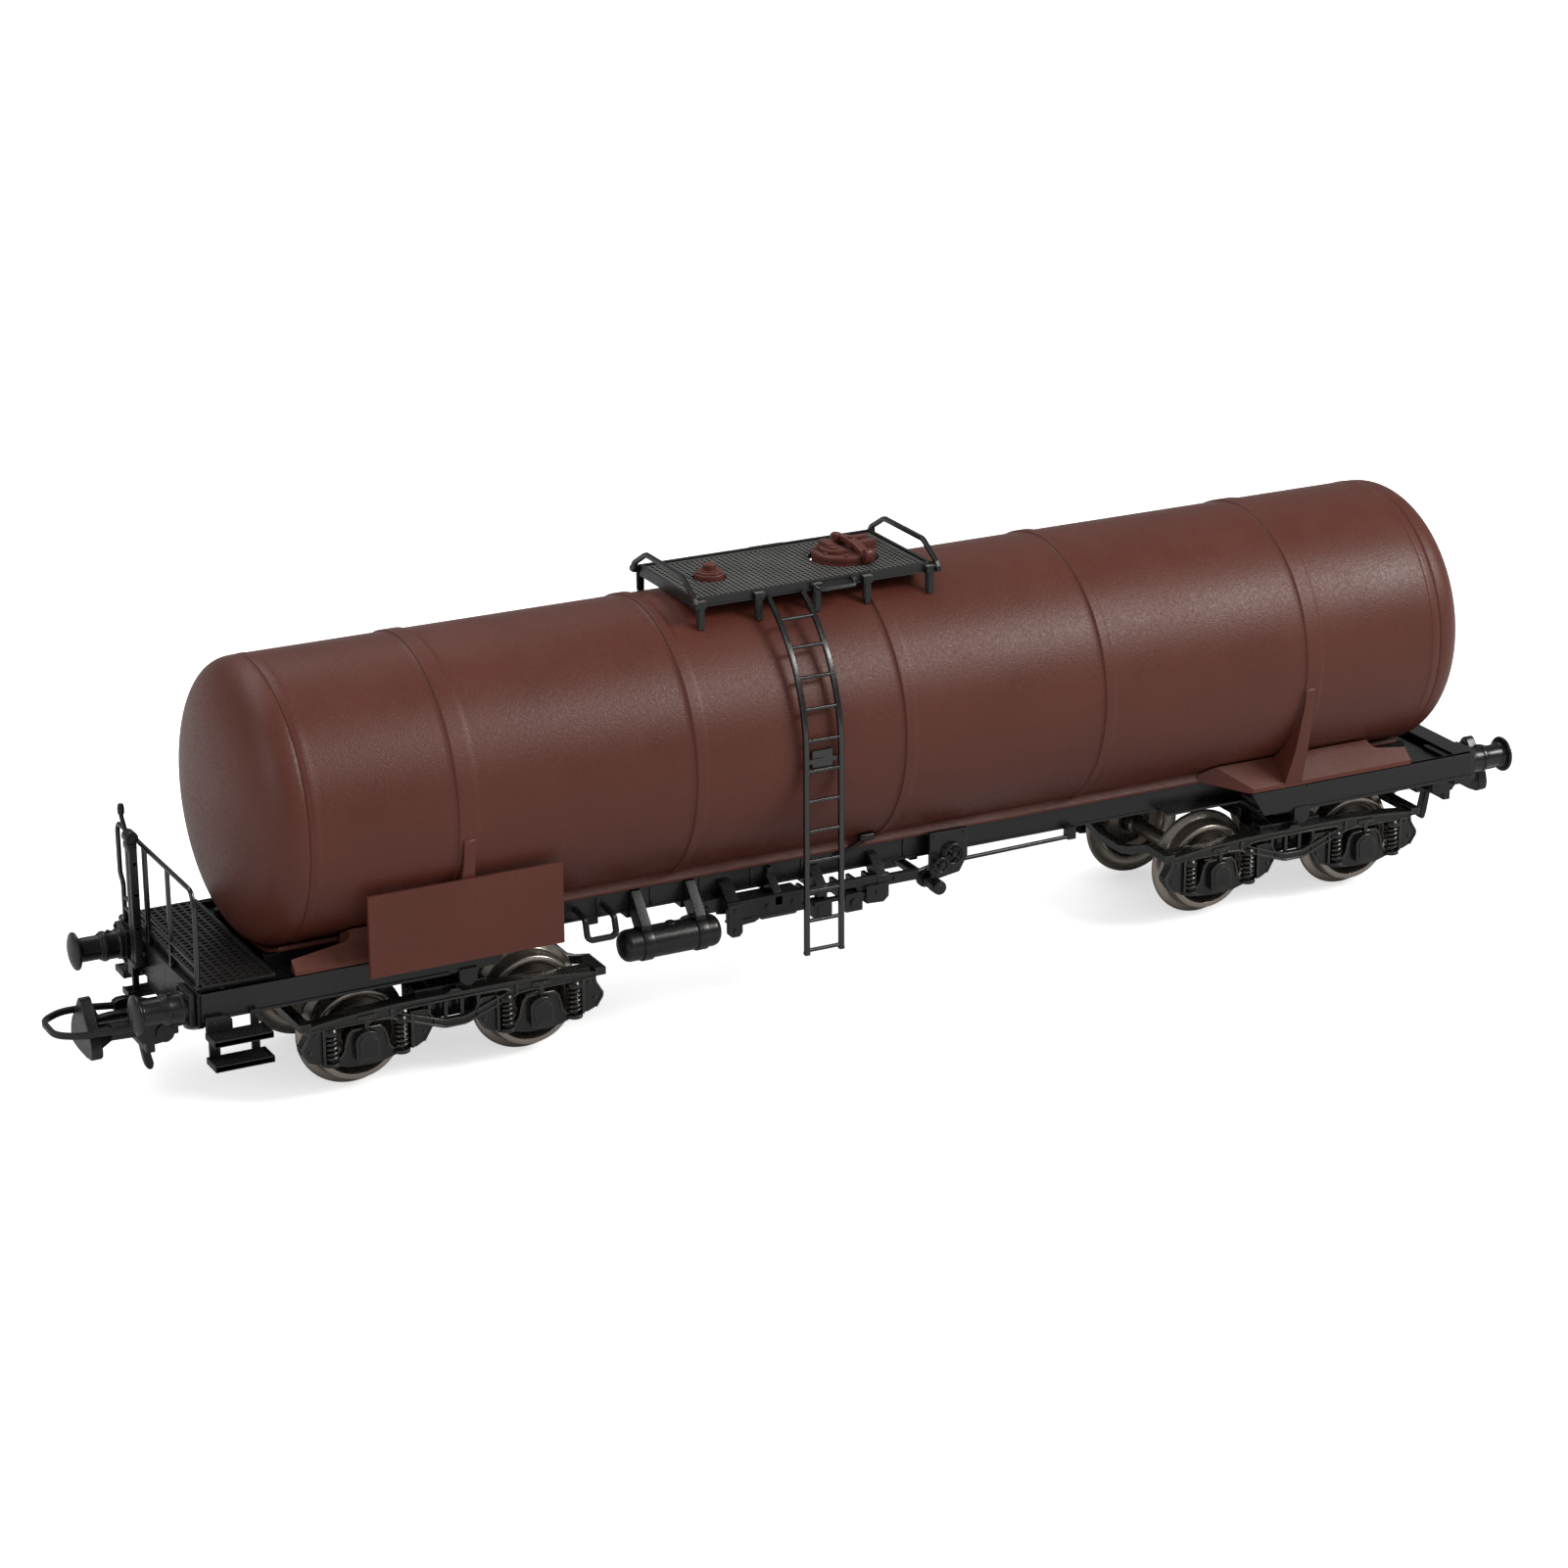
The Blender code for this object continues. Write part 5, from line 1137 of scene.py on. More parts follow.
def brake_gear():
    parts = boxes([(-18.4, -9.0, -10.9, -10.2, 11.35, 13.7, 0.10),
                   (-18.5, -8.9, -11.05, -10.1, 13.5, 13.8, 0.06),
                   (-18.5, -8.9, -11.0, -10.15, 11.3, 11.55, 0.05),
                   (-9.2, 2.2, -10.8, -10.2, 12.7, 13.75, 0.08),
                   (-9.2, 2.0, -10.9, -10.15, 11.5, 11.95)])
    # plates that hang at the left of the beam
    drop = [(-18.5, 13.6), (-16.7, 13.6), (-16.7, 10.1), (-17.1, 9.65), (-18.0, 9.65),
            (-18.5, 10.1)]
    tab = [(-16.8, 11.6), (-14.8, 11.6), (-14.8, 11.25), (-15.1, 11.0), (-16.8, 10.9)]
    parts += [prism(drop, "Y", -11.25, -10.6, 0.10), prism(tab, "Y", -11.1, -10.3)]
    # bolts: x, y, z, radius, height
    parts += [bolt(*row, sign=-1) for row in (
        (-17.6, -11.25, 10.4, 0.34, 0.2), (-17.6, -11.25, 12.8, 0.28, 0.16),
        (-13.4, -10.95, 12.5, 0.34, 0.2), (-10.2, -10.95, 12.5, 0.26, 0.16))]
    rows = [(-18.3, -9.0, -10.6, -7.9, 13.2, 13.62, 0.06),
            (-20.6, -18.2, -9.6, -7.9, 12.4, 14.0, 0.10)]
    # arms that cross behind the beam, with the blocks they end in
    rows += [(x - 0.24, x + 0.24, -10.7, -7.9, 11.6, 13.4, 0.06)
             for x in (-8.2, -6.0, -3.9, -1.8, 0.2)]
    rows += [(-7.7, -5.4, -11.25, -9.4, 10.0, 12.0, 0.12),
             (-7.3, -5.8, -11.35, -11.15, 10.3, 11.6, 0.05),
             (-3.7, -1.5, -11.25, -9.4, 10.0, 12.2, 0.12)]
    parts += boxes(rows)
    parts.append(disc("Y", (-2.6, 0, 11.1), 0.5, -11.5, -11.1, 20, 0.06))
    block = [(-1.0, 12.7), (1.9, 12.7), (1.9, 11.1), (1.2, 10.5), (-1.0, 10.6)]
    parts += [prism(block, "Y", -11.2, -8.9, 0.10), bolt(0.4, -11.2, 11.8, 0.3, 0.18, -1)]
    # brake cylinder behind the beam, with its push rod and lever
    cylinder = [(0, -13.6), (1.15, -13.6), (1.15, -9.4), (0.9, -9.2), (0, -9.2)]
    lever = [(-14.9, 13.4), (-14.1, 13.4), (-13.9, 10.6), (-14.7, 10.4)]
    parts += [lathe(cylinder, "X", (0, -9.3, 11.6), 32, 0.1),
              rod([(-14.4, -9.3, 11.6), (-19.0, -9.2, 12.2)], 0.22),
              prism(lever, "Y", -9.7, -9.3, 0.06)]
    bracket = [(-10.9, 12.4), (-10.2, 12.2), (SILL_FACE, 13.4), (SILL_FACE, 15.6), (-8.6, 15.5),
               (-10.9, 13.6)]
    parts += [rib(bracket, x, width / 2, edge=0.08)
              for x, width in ((-17.6, 1.5), (-12.0, 1.0), (-6.5, 1.3), (1.2, 1.2))]
    # long pull rod towards the right bogie: a heavy fork first, then a plain bar
    parts += [box(1.7, 6.1, -10.5, -9.7, 12.1, 13.3, 0.10),
              bolt(3.0, -10.5, 12.7, 0.32, 0.2, -1),
              rod([(5.8, -9.9, 12.75), (8.6, -9.3, 13.0), (27.5, -8.9, 13.15)], 0.26, 12),
              box(26.6, 27.7, -9.25, SILL_FACE, 12.8, 14.3, 0.09)]
    return parts


def rod_guard():
    """A squared hoop that hangs from the sill: x, y, z."""
    path = [(-35.7, SILL_FACE, 15.2), (-35.7, -10.5, 14.9), (-35.7, -11.0, 13.0),
            (-35.3, -11.0, 12.55), (-32.6, -11.0, 12.55), (-32.2, -11.0, 13.0),
            (-32.2, -10.5, 14.7), (-32.2, SILL_FACE, 15.1)]
    return [flat_bar(bend(path, 0.35, 4), 0.62, 0.62, edge=0.14)]


def changeover():
    outline = [(8.0, 11.6), (8.3, 11.2), (11.9, 11.75), (12.95, 13.6), (12.9, 17.0), (8.0, 17.1)]
    parts = [prism(outline, "Y", PLATE_Y, PLATE_Y + 0.5, 0.08)]
    parts += boxes([(9.4, 11.8, PLATE_Y + 0.4, SILL_FACE, 14.4, 16.0, 0.06),
                    (PLATE_X0 + 0.1, PLATE_X1 - 0.1, PLATE_Y + 0.3, SILL_FACE,
                     16.25, 16.6, 0.05)])
    parts += [bolt(x, PLATE_Y, z, 0.2, 0.12, -1)
              for x, z in ((8.5, 16.5), (12.4, 16.5), (12.45, 14.0))]
    return parts


def handwheel(x, z, radius, reach, wire=0.17):
    """A four-spoked wheel that stands a reach out from the plate."""
    y = PLATE_Y - reach
    rim = [(radius - wire + wire * math.cos(math.radians(a)), wire * math.sin(math.radians(a)))
           for a in range(0, 360, 36)]
    parts = [turned(rim, "Y", (x, y, z), 48, loop=True),
             disc("Y", (x, y, z), 0.3, -0.28, reach, 20, 0.06)]
    for k in range(4):
        a, length = math.radians(45 + 90 * k), radius - 0.1
        tip = (x + math.cos(a) * length, y, z + math.sin(a) * length)
        parts.append(rod([(x, y, z), tip], 0.13, 8))
    return parts


def discharge():
    """A pipe across the wagon, capped at both sides."""
    x, y, z = 7.9, 12.4, 11.3
    half = [(0.0, y), (0.78, y), (0.84, y - 0.2), (0.84, y - 1.5), (0.66, y - 1.6), (0.66, y - 2.0),
            (0.74, y - 2.05), (0.74, y - 2.35), (0.6, y - 2.4), (0.6, 9.0), (1.02, 8.95),
            (1.02, 8.35), (0.6, 8.3)]
    parts = [lathe(half + [(r, -a) for r, a in reversed(half)], "Y", (x, 0, z), 40, 0.06),
             box(x - 1.2, x + 1.2, -1.2, 1.2, 10.0, 12.8, 0.15)]
    for side, _ in SIDES:
        hanger = bend([(x, side * 8.65, z + 0.9), (x, side * 8.65, 12.2),
                       (x - 0.6, side * 8.4, 13.4), (x - 0.6, side * 8.06, 14.2)], 0.3, 4)
        cap = [(0, y - 0.02), (0.4, y - 0.02), (0.36, y + 0.04), (0, y + 0.05)]
        parts += [rod(hanger, 0.24),
                  lathe([(r, side * a) for r, a in cap], "Y", (x, 0, z), 24, 0.03)]
    return parts


def valve_lever():
    path = bend([(-3.0, -8.07, 15.9), (-2.7, -8.5, 16.3), (-1.2, -9.2, 17.3),
                 (-0.2, -9.5, 18.1)], 0.4, 4)
    knob = [(0, -0.95), (0.46, -0.95), (0.54, -0.75), (0.54, 0.75), (0.46, 0.95), (0, 0.95)]
    return [rod(path, 0.26, 12), lathe(knob, "X", (-0.2, -9.5, 18.15), 24, 0.1),
            box(-3.5, -2.4, -8.5, -8.0, 15.4, 16.3, 0.1)]


show("reservoir", reservoir(), BLACK, "air_reservoir")
show("brake_rigging", brake_gear(), BLACK, "brake_gear")
show("rod_guard", rod_guard(), BLACK, "safety_loop")
show("gear_plate", changeover(), BLACK, "changeover_plate")
show("load_handwheel", handwheel(10.88, 14.2, radius=1.35, reach=0.45), BLACK, "handwheel_large")
show("mode_handwheel", handwheel(8.95, 13.35, radius=1.0, reach=1.0), BLACK, "handwheel_small")
show("discharge_line", discharge(), BLACK, "discharge_pipe")
show("bottom_valve_lever", valve_lever(), BLACK, "valve_lever")

# ---------------------------------------------------------------- bogies
# Side frame faces, then (x, z) outlines: x from the pivot for the side frame
SIDE_IN, SIDE_OUT = 11.5, 12.45
SIDE_TOP = [(-16.95, 9.55), (-14.2, 9.88), (-11.0, 10.15), (-7.0, 10.36), (-3.0, 10.38),
            (0, 10.34), (3.0, 10.38), (7.0, 10.36), (11.0, 10.15), (14.2, 9.88), (16.95, 9.55)]
SIDE_LOW = [(16.95, 8.75), (9.3, 8.82), (7.7, 8.72), (1.6, 6.5), (1.1, 6.38),
            (-1.1, 6.38), (-1.6, 6.5), (-7.7, 8.72), (-9.3, 8.82), (-16.95, 8.75)]
WINDOW = [(-6.5, 9.2), (-6.3, 9.0), (-1.5, 7.3), (-1.0, 7.2), (1.0, 7.2), (1.5, 7.3),
          (6.3, 9.0), (6.5, 9.2), (5.9, 9.5), (0.0, 9.62), (-5.9, 9.5)]
# pedestals: x away from the axle, from the pedestal's own middle
OUTER_PLATE = [(-1.0, 8.9), (0.5, 8.9), (0.62, 8.2), (1.42, 6.85), (1.38, 6.35), (0.6, 5.2),
               (-0.4, 4.8), (-1.0, 4.8)]
OUTER_RIM = [(0.46, 8.8), (0.58, 8.15), (1.36, 6.83), (1.32, 6.37), (0.56, 5.25)]
INNER_PLATE = [(-1.25, 8.9), (0.75, 8.9), (1.5, 7.75), (1.45, 7.0), (0.4, 5.2), (-0.55, 4.7),
               (-1.25, 4.7)]
INNER_RIM = [(0.72, 8.8), (1.44, 7.72), (1.38, 7.02), (0.35, 5.25)]
# bridge under the springs, and the shoulders that rise beside the axlebox: x from the axle
BRIDGE_FOOT = [(-5.15, 4.75), (-5.05, 4.35), (-3.4, 4.22), (-2.1, 3.85), (-1.0, 3.72),
               (1.0, 3.72), (2.1, 3.85), (3.4, 4.22), (5.05, 4.35), (5.15, 4.75)]
SHOULDERS = [(3.9, 4.95), (3.0, 5.15), (2.55, 5.7), (2.35, 6.6), (2.1, 7.5), (1.6, 8.0),
             (-1.6, 8.0), (-2.1, 7.5), (-2.35, 6.6), (-2.55, 5.7), (-3.0, 5.15), (-3.9, 4.95)]


def coil(x, y, z0, z1, radius, wire, turns):
    """A coil spring standing upright, with flattened end turns."""
    count = int(turns * 20)
    path = []
    for k in range(count + 1):
        t = k / count
        ease = t * t * (3 - 2 * t) * 0.25 + t * 0.75
        a = 2 * math.pi * turns * t
        path.append((x + radius * math.cos(a), y + radius * math.sin(a),
                     z0 + wire + (z1 - z0 - 2 * wire) * ease))
    return rod(path, wire, 8)


def path_at(outline, y, lift=0.0):
    """An (x, z) outline as a path in the plane of one y."""
    return [(x, y, z + lift) for x, z in outline]


def side_web(x, side):
    """Fish-bellied side frame with a window, raised rims and a top flange."""
    y_in, y_out = SIDE_IN, SIDE_OUT
    window = place(WINDOW, x)
    web = prism(place(SIDE_TOP + SIDE_LOW, x), "Y", side * y_in, side * y_out, edge=0.0)
    web = cut(web, prism(window, "Y", side * 11.0, side * 13.2, edge=0.0))
    rim_y = side * (y_out + 0.04)
    belly = path_at(place(SIDE_LOW[1:-1], x), rim_y, lift=0.08)
    parts = [bevelled(web, 0.06, 2, 30),
             flat_bar(path_at(window, rim_y), 0.26, 0.24, edge=0.06, closed=True),
             flat_bar(belly, 0.30, 0.26, edge=0.06)]
    parts += boxes([(x + u - 0.19, x + u + 0.19, y_in + 0.15, y_out - 0.1, 7.4, 9.7, 0.06)
                    for u in (-2.9, -0.95, 0.95, 2.9)], side)
    flange = [(u, z + 0.02) for u, z in SIDE_TOP] + [(u, z - 0.26) for u, z in reversed(SIDE_TOP)]
    parts.append(prism(place(flange, x), "Y", side * (y_in - 0.45), side * (y_out + 0.42),
                       0.06, angle=40))
    parts += boxes([(x - 16.8, x - 9.4, y_in + 0.2, y_out + 0.12, 8.72, 8.92, 0.05),
                    (x + 9.4, x + 16.8, y_in + 0.2, y_out + 0.12, 8.72, 8.92, 0.05)], side)
    # lugs and bolts in the angle of the fish belly
    for u in (x - 7.35, x + 7.35):
        parts.append(bolt(u, side * y_out, 9.35, 0.26, 0.22, side, seg=12))
        parts += boxes([(u - 0.16, u + 0.16, y_out, y_out + 0.16, 8.8, 10.1, 0.04)], side)
    # seat on the side for the underframe's side bearer
    seat = [(-0.95, 10.3), (0.95, 10.3), (0.4, 10.78), (-0.4, 10.78)]
    parts.append(prism(place(seat, x), "Y", side * 11.7, side * 12.75, 0.05))
    return parts


def pedestal(axle_x, way, outer, side):
    """The plate on one side of an axle, ribbed along its edge, with the coil spring beside it."""
    u = axle_x + way * 6.3
    plate, rim, inset = INNER_PLATE, INNER_RIM, 0.0
    if outer:
        u -= way * 0.25
        plate, rim, inset = OUTER_PLATE, OUTER_RIM, 0.7
    face = SIDE_OUT - 0.15
    parts = [prism(place(plate, u, way), "Y", side * (SIDE_IN - inset), side * face, 0.08),
             flat_bar(path_at(place(rim, u, way), side * (SIDE_OUT - 0.12)), 0.24, 0.26,
                      edge=0.05)]
    parts += boxes([(u - way * 1.25, u - way * 0.95, SIDE_IN - 0.1, SIDE_OUT + 0.22,
                     4.8, 8.9, 0.06)], side)
    parts += [bolt(u + way * 0.45, side * face, 6.3, 0.22, 0.2, side, seg=12),
              bolt(u - way * 0.2, side * face, 8.2, 0.18, 0.16, side, seg=10)]
    # spring, its core, its cap and its seat
    x, y = axle_x + way * 4.05, side * 12.15
    cap = [(0, 8.05), (0.92, 8.05), (0.92, 8.45), (0.7, 8.8), (0, 8.8)]
    seat = [(0, 4.45), (0.95, 4.45), (0.95, 4.85), (0, 4.95)]
    return parts + [coil(x, y, z0=4.95, z1=8.15, radius=0.66, wire=0.175, turns=5.5),
                    disc("Z", (x, y, 0), 0.36, 4.9, 8.3, 14, 0.05),
                    lathe(cap, "Z", (x, y, 0), 24, 0.07), lathe(seat, "Z", (x, y, 0), 24, 0.07)]


def axlebox(x, side):
    """Bridge, round-topped axlebox cover with a raised face, and the keeper above."""
    bridge = place(BRIDGE_FOOT + SHOULDERS, x)
    parts = [prism(bridge, "Y", side * 11.3, side * 12.2, 0.09, angle=30),
             flat_bar(path_at(place(SHOULDERS, x), side * 12.26), 0.26, 0.26, edge=0.07)]
    cover = [(-1.42, 4.75), (-1.15, 4.35), (1.15, 4.35), (1.42, 4.75), (1.5, 6.6)]
    cover += [(1.5 * math.cos(math.radians(a)), 6.62 + 1.28 * math.sin(math.radians(a)))
              for a in range(12, 169, 12)]
    cover.append((-1.5, 6.6))
    face = [(u * 0.74, 6.1 + (z - 6.1) * 0.76) for u, z in cover]
    parts += [prism(place(cover, x), "Y", side * 11.5, side * 13.0, 0.16, seg=3, angle=30),
              prism(place(face, x), "Y", side * 12.8, side * 13.15, 0.08, angle=30)]
    parts += boxes([
        (x - 0.22, x + 0.22, 12.2, 12.62, 7.6, 9.25),
        (x - 1.05, x + 1.05, SIDE_OUT - 0.05, SIDE_OUT + 0.18, 9.15, 9.65, 0.06),
        (x - 0.45, x + 0.45, SIDE_OUT - 0.05, SIDE_OUT + 0.28, 9.25, 9.55, 0.05)], side)
    parts.append(bolt(x + 0.7, side * 13.15, 7.0, 0.13, 0.1, side, seg=10))
    return parts


def bogie_side(x, side):
    parts = side_web(x, side)
    for offset in (-WHEELBASE / 2, WHEELBASE / 2):
        for way in (-1, 1):
            parts += pedestal(x + offset, way, way * offset > 0, side)
        parts += axlebox(x + offset, side)
    return parts


def bogie(x, end):
    parts = bogie_side(x, -1) + bogie_side(x, 1)
    # bolster, longitudinal ties and the two steps of the centre plate
    bolster = [(-11.7, 9.7), (-8.0, 9.3), (8.0, 9.3), (11.7, 9.7), (11.7, 10.8), (9.0, 11.4),
               (-9.0, 11.4), (-11.7, 10.8)]
    parts.append(rib(bolster, x, 2.5, edge=0.12))
    parts += boxes([(x - 3.6, x + 3.6, -10.9, -6.0, 6.9, 9.7, 0.15),
                    (x - 3.6, x + 3.6, 6.0, 10.9, 6.9, 9.7, 0.15),
                    (x - 4.2, x + 4.2, -9.6, -11.6, 10.2, 10.9, 0.12),
                    (x - 4.2, x + 4.2, 9.6, 11.6, 10.2, 10.9, 0.12)])
    parts += [ring("Z", (x, 0, 0), 1.25, 3.3, 10.4, 12.62, 44, 0.1),
              ring("Z", (x, 0, 0), 1.25, 4.1, 10.4, 11.75, 44, 0.1)]
    pad = [(-1.4, 11.3), (1.4, 11.3), (1.15, 12.45), (-1.15, 12.45)]
    post = [(5.2, 9.5), (5.9, 9.5), (5.9, 11.2), (5.2, 11.2)]
    for side, _ in SIDES:
        parts.append(prism(place(pad, x), "Y", side * 8.55, side * 10.25, 0.1))
        parts += [prism(place(post, flip=side), "X", x + way * 2.3, x + way * 3.3)
                  for way in (-1, 1)]
    # end beams: plain at the outer end, dropped in the middle at the inner end
    outer_x, inner_x = x + end * 17.3, x - end * 17.35
    flat = [(-12.75, 9.0), (12.75, 9.0), (12.75, 9.92), (-12.75, 9.92)]
    dip = [(8.4, 9.92), (4.5, 8.45), (2.3, 7.85), (-2.3, 7.85), (-4.5, 8.45), (-8.4, 9.92)]
    drop = [(-12.75, 9.92), (-12.75, 9.0), (-8.7, 9.0), (-4.9, 7.55), (-2.6, 6.95), (2.6, 6.95),
            (4.9, 7.55), (8.7, 9.0), (12.75, 9.0), (12.75, 9.92)] + dip
    parts += [prism(flat, "X", outer_x - 0.65, outer_x + 0.65, 0.09),
              prism(drop, "X", inner_x - 0.65, inner_x + 0.65, 0.09, angle=20)]
    for side, _ in SIDES:
        parts += boxes([(x - end * 13.0, x - end * 17.0, 10.35, 11.7, 9.2, 9.8, 0.08)], side)
    lip = [(inner_x - end * 0.5, y, z - 0.1) for y, z in reversed(dip)]
    parts.append(flat_bar(lip, 0.35, 0.22, edge=0.06))
    # corner gussets: (x, y)
    gusset = [(15.9, 11.2), (16.9, 11.2), (16.9, 10.2)]
    for side, _ in SIDES:
        for way in (-1, 1):
            outline = [(x + way * u, side * y) for u, y in gusset]
            parts.append(prism(outline, "Z", 9.1, 9.6, 0.05))
    return parts


def wheel(x, side):
    # hub, dish, flange, tread and outer face: radius, distance from the wagon's centre line
    profile = [
        (1.0, BACK + 0.30), (1.9, BACK + 0.30), (2.15, BACK + 0.55), (2.9, BACK + 0.95),
        (4.0, BACK + 0.75), (4.45, BACK + 0.30), (5.2, BACK + 0.02), (6.05, BACK + 0.0),
        (6.30, BACK + 0.14), (6.38, BACK + 0.36), (6.28, BACK + 0.60), (5.86, BACK + 0.80),
        (5.50, BACK + 0.96), (5.36, BACK + 1.15), (5.22, 9.75), (5.12, 9.90), (4.98, 9.95),
        (4.62, 9.95), (4.50, 9.88), (4.42, 9.55), (4.28, 9.22), (4.0, 9.0), (3.0, 8.88),
        (2.35, 9.05), (2.05, 9.45), (1.9, 9.62), (1.0, 9.62)]
    return [lathe([(r, side * a) for r, a in profile], "Y", (x, 0, AXLE_Z), 112, 0.06,
                  loop=True, steps=2)]


def axle(x):
    half = [(0.0, 12.42), (0.22, 12.05), (0.5, 11.7), (0.62, 11.5), (0.62, 10.6), (0.94, 10.4),
            (0.94, 7.3), (1.25, 7.15), (1.25, 6.2), (0.98, 5.9), (0.92, 4.0)]
    return [lathe(half + [(r, -a) for r, a in reversed(half)], "Y", (x, 0, AXLE_Z), 40)]


def pivot_screw(x):
    profile = [(0, 8.9), (1.9, 8.9), (2.0, 9.3), (1.9, 9.85), (1.0, 9.9), (1.0, 13.9), (0, 13.9)]
    return [lathe(profile, "Z", (x, 0, 0), 40)]


for end, name in ENDS:
    pivot = PIVOTS[name]
    show(f"bogie_{name}_frame", bogie(pivot, end), BOGIE_BLACK, f"bogie_frame_{name}",
         body=f"bogie_{name}", origin=(pivot, 0, 10.0))
    show(f"pivot_screw_{name}", pivot_screw(pivot), AXLE, f"bogie_screw_{name}")
    for offset, which in ((-end * WHEELBASE / 2, "inner"), (end * WHEELBASE / 2, "outer")):
        x = pivot + offset
        place_name = f"{name}_{which}"
        riding = {"body": f"wheelset_{place_name}", "origin": (x, 0, AXLE_Z)}
        show(f"axle_bar_{place_name}", axle(x), AXLE, f"axle_{place_name}", **riding)
        for side, side_name in SIDES:
            show(f"wheel_disc_{place_name}_{side_name}", wheel(x, side), WHEEL,
                 f"wheel_{place_name}_{side_name}", **riding)


# ---------------------------------------------------------------- couplers, drawn for the left end
def drawbar():
    x = -COUPLER_X
    pin = (-LOOP_X, 0, LOOP_Z)
    shank = [(x - 1.2, -1.5), (x - 1.2, 1.5), (-81.0, 1.7), (-84.4, 1.7), (-84.4, -1.7),
             (-81.0, -1.7)]
    neck = [(-89.3, -1.2), (-89.3, 1.2), (-84.0, 1.75), (-84.0, -1.75)]
    crest = [(-89.2, 9.2), (-84.2, 9.2), (-84.2, 9.9), (-87.0, 10.1), (-89.2, 9.9)]
    # head: a plate with a pointed nose above and a blunt chin; (y, z) of one half
    half = [(1.4, 6.0), (2.9, 6.2), (3.5, 6.6), (3.6, 7.4), (3.35, 8.4), (2.9, 9.2), (2.1, 10.1),
            (1.3, 11.1), (0.6, 12.1), (0.25, 12.4)]
    face = place(half, flip=-1) + half[::-1]
    fin = [(-89.3, 12.3), (-88.3, 9.9), (-88.0, 8.0), (-89.3, 7.4)]
    parts = [ring("Z", (x, 0, 0), 0.86, 1.9, 7.6, 9.65, 36, 0.1),
             prism(shank, "Z", 7.65, 9.6, 0.12),
             box(-84.2, -80.3, -2.75, 2.75, 7.35, 9.85, 0.18),
             prism(neck, "Z", 7.35, 9.6, 0.15),
             prism(crest, "Y", -0.45, 0.45, 0.08),
             prism(face, "X", -90.4, -89.1, 0.16, seg=3, angle=40),
             prism(fin, "Y", -0.5, 0.5, 0.1)]
    for side, _ in SIDES:
        cheek = [(-89.3, side * 3.3), (-89.3, side * 1.0), (-87.2, side * 1.2)]
        parts.append(prism(cheek, "Z", 7.4, 9.3, 0.08))
    parts.append(disc("Y", pin, 0.40, -4.35, 4.35, 24, 0.06))
    # the cross pin's heads: its centre height is already in pin
    parts += [disc("Y", pin, 0.62, side * 4.28, side * 4.5, 24, 0.05) for side, _ in SIDES]
    return parts


def coupler_loop():
    y, z = 3.85, 9.6
    pin = (-LOOP_X, 0, LOOP_Z)
    path = bend([(-84.4, -3.3, z - 0.35), (-88.6, -y + 0.1, z), (-91.4, -y, z),
                 (-93.9, -y + 1.7, z), (-93.9, y - 1.7, z), (-91.4, y, z),
                 (-88.6, y - 0.1, z), (-84.4, 3.3, z - 0.35)], 1.2, 8)
    parts = [flat_bar(path, 0.58, 0.72, edge=0.16)]
    cheek = [(-81.3, 7.75), (-82.0, 7.35), (-83.4, 7.2), (-84.7, 7.5), (-85.3, 8.3), (-85.6, 9.2),
             (-85.5, 9.8), (-85.0, 10.05), (-84.2, 10.1), (-83.3, 9.9), (-82.2, 9.45), (-81.3, 9.2)]
    for side, _ in SIDES:
        plate = prism(cheek, "Y", side * 3.0, side * 4.15, 0.12, angle=35)
        parts += [cut(plate, turned(solid(0.5, -5.0, 5.0), "Y", pin, 32)),
                  ring("Y", pin, 0.52, 1.0, side * 3.95, side * 4.5, 36, 0.06)]
        parts += boxes([(-84.5, -83.5, 3.05, 4.05, 6.3, 7.7, 0.1)], side)
    parts.append(box(-84.45, -83.6, -3.95, 3.95, 6.25, 7.0, 0.12))
    tail = [(-84.1, 6.6), (-83.3, 6.6), (-82.85, 4.6), (-82.6, 3.5), (-82.7, 2.95), (-83.0, 2.78),
            (-83.35, 2.95), (-83.6, 3.8)]
    parts.append(prism(tail, "Y", -0.6, 0.6, 0.16, seg=3, angle=35))
    return parts


def coupler_pin():
    profile = [(0, 6.7), (1.25, 6.7), (1.25, 7.35), (0.75, 7.45), (0.75, 11.1), (0, 11.1)]
    return [lathe(profile, "Z", (-COUPLER_X, 0, 0), 32)]


for end, name in ENDS:
    turn = Matrix.Rotation(math.pi if end > 0 else 0.0, 4, "Z")
    bar, hook, pin = ([moved(part, turn) for part in parts]
                      for parts in (drawbar(), coupler_loop(), coupler_pin()))
    show(f"coupler_{name}_shank", bar, BLACK, f"drawbar_{name}", body=f"coupler_{name}")
    show(f"coupler_{name}_loop", hook, BLACK, f"coupler_loop_{name}", body=f"loop_{name}")
    show(f"coupler_{name}_pivot", pin, AXLE, f"coupler_pin_{name}")

# the hidden ballast stays the CAD's own solid and takes a proper material
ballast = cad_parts["ballast_weight"].data
ballast.materials.clear()
ballast.materials.append(BALLAST)

# ---------------------------------------------------------------- floor, light and camera
FLOOR_HALF = 4000
# the floor's own light towards the camera, and the share of light it returns to the model
FLOOR_GLOW, FLOOR_BOUNCE = 0.60, 0.52
# strength of the backdrop as soft light, and in reflections
WORLD_SOFT, WORLD_GLOSS = 0.70, 0.22
WHITE = (1.0, 1.0, 1.0, 1.0)


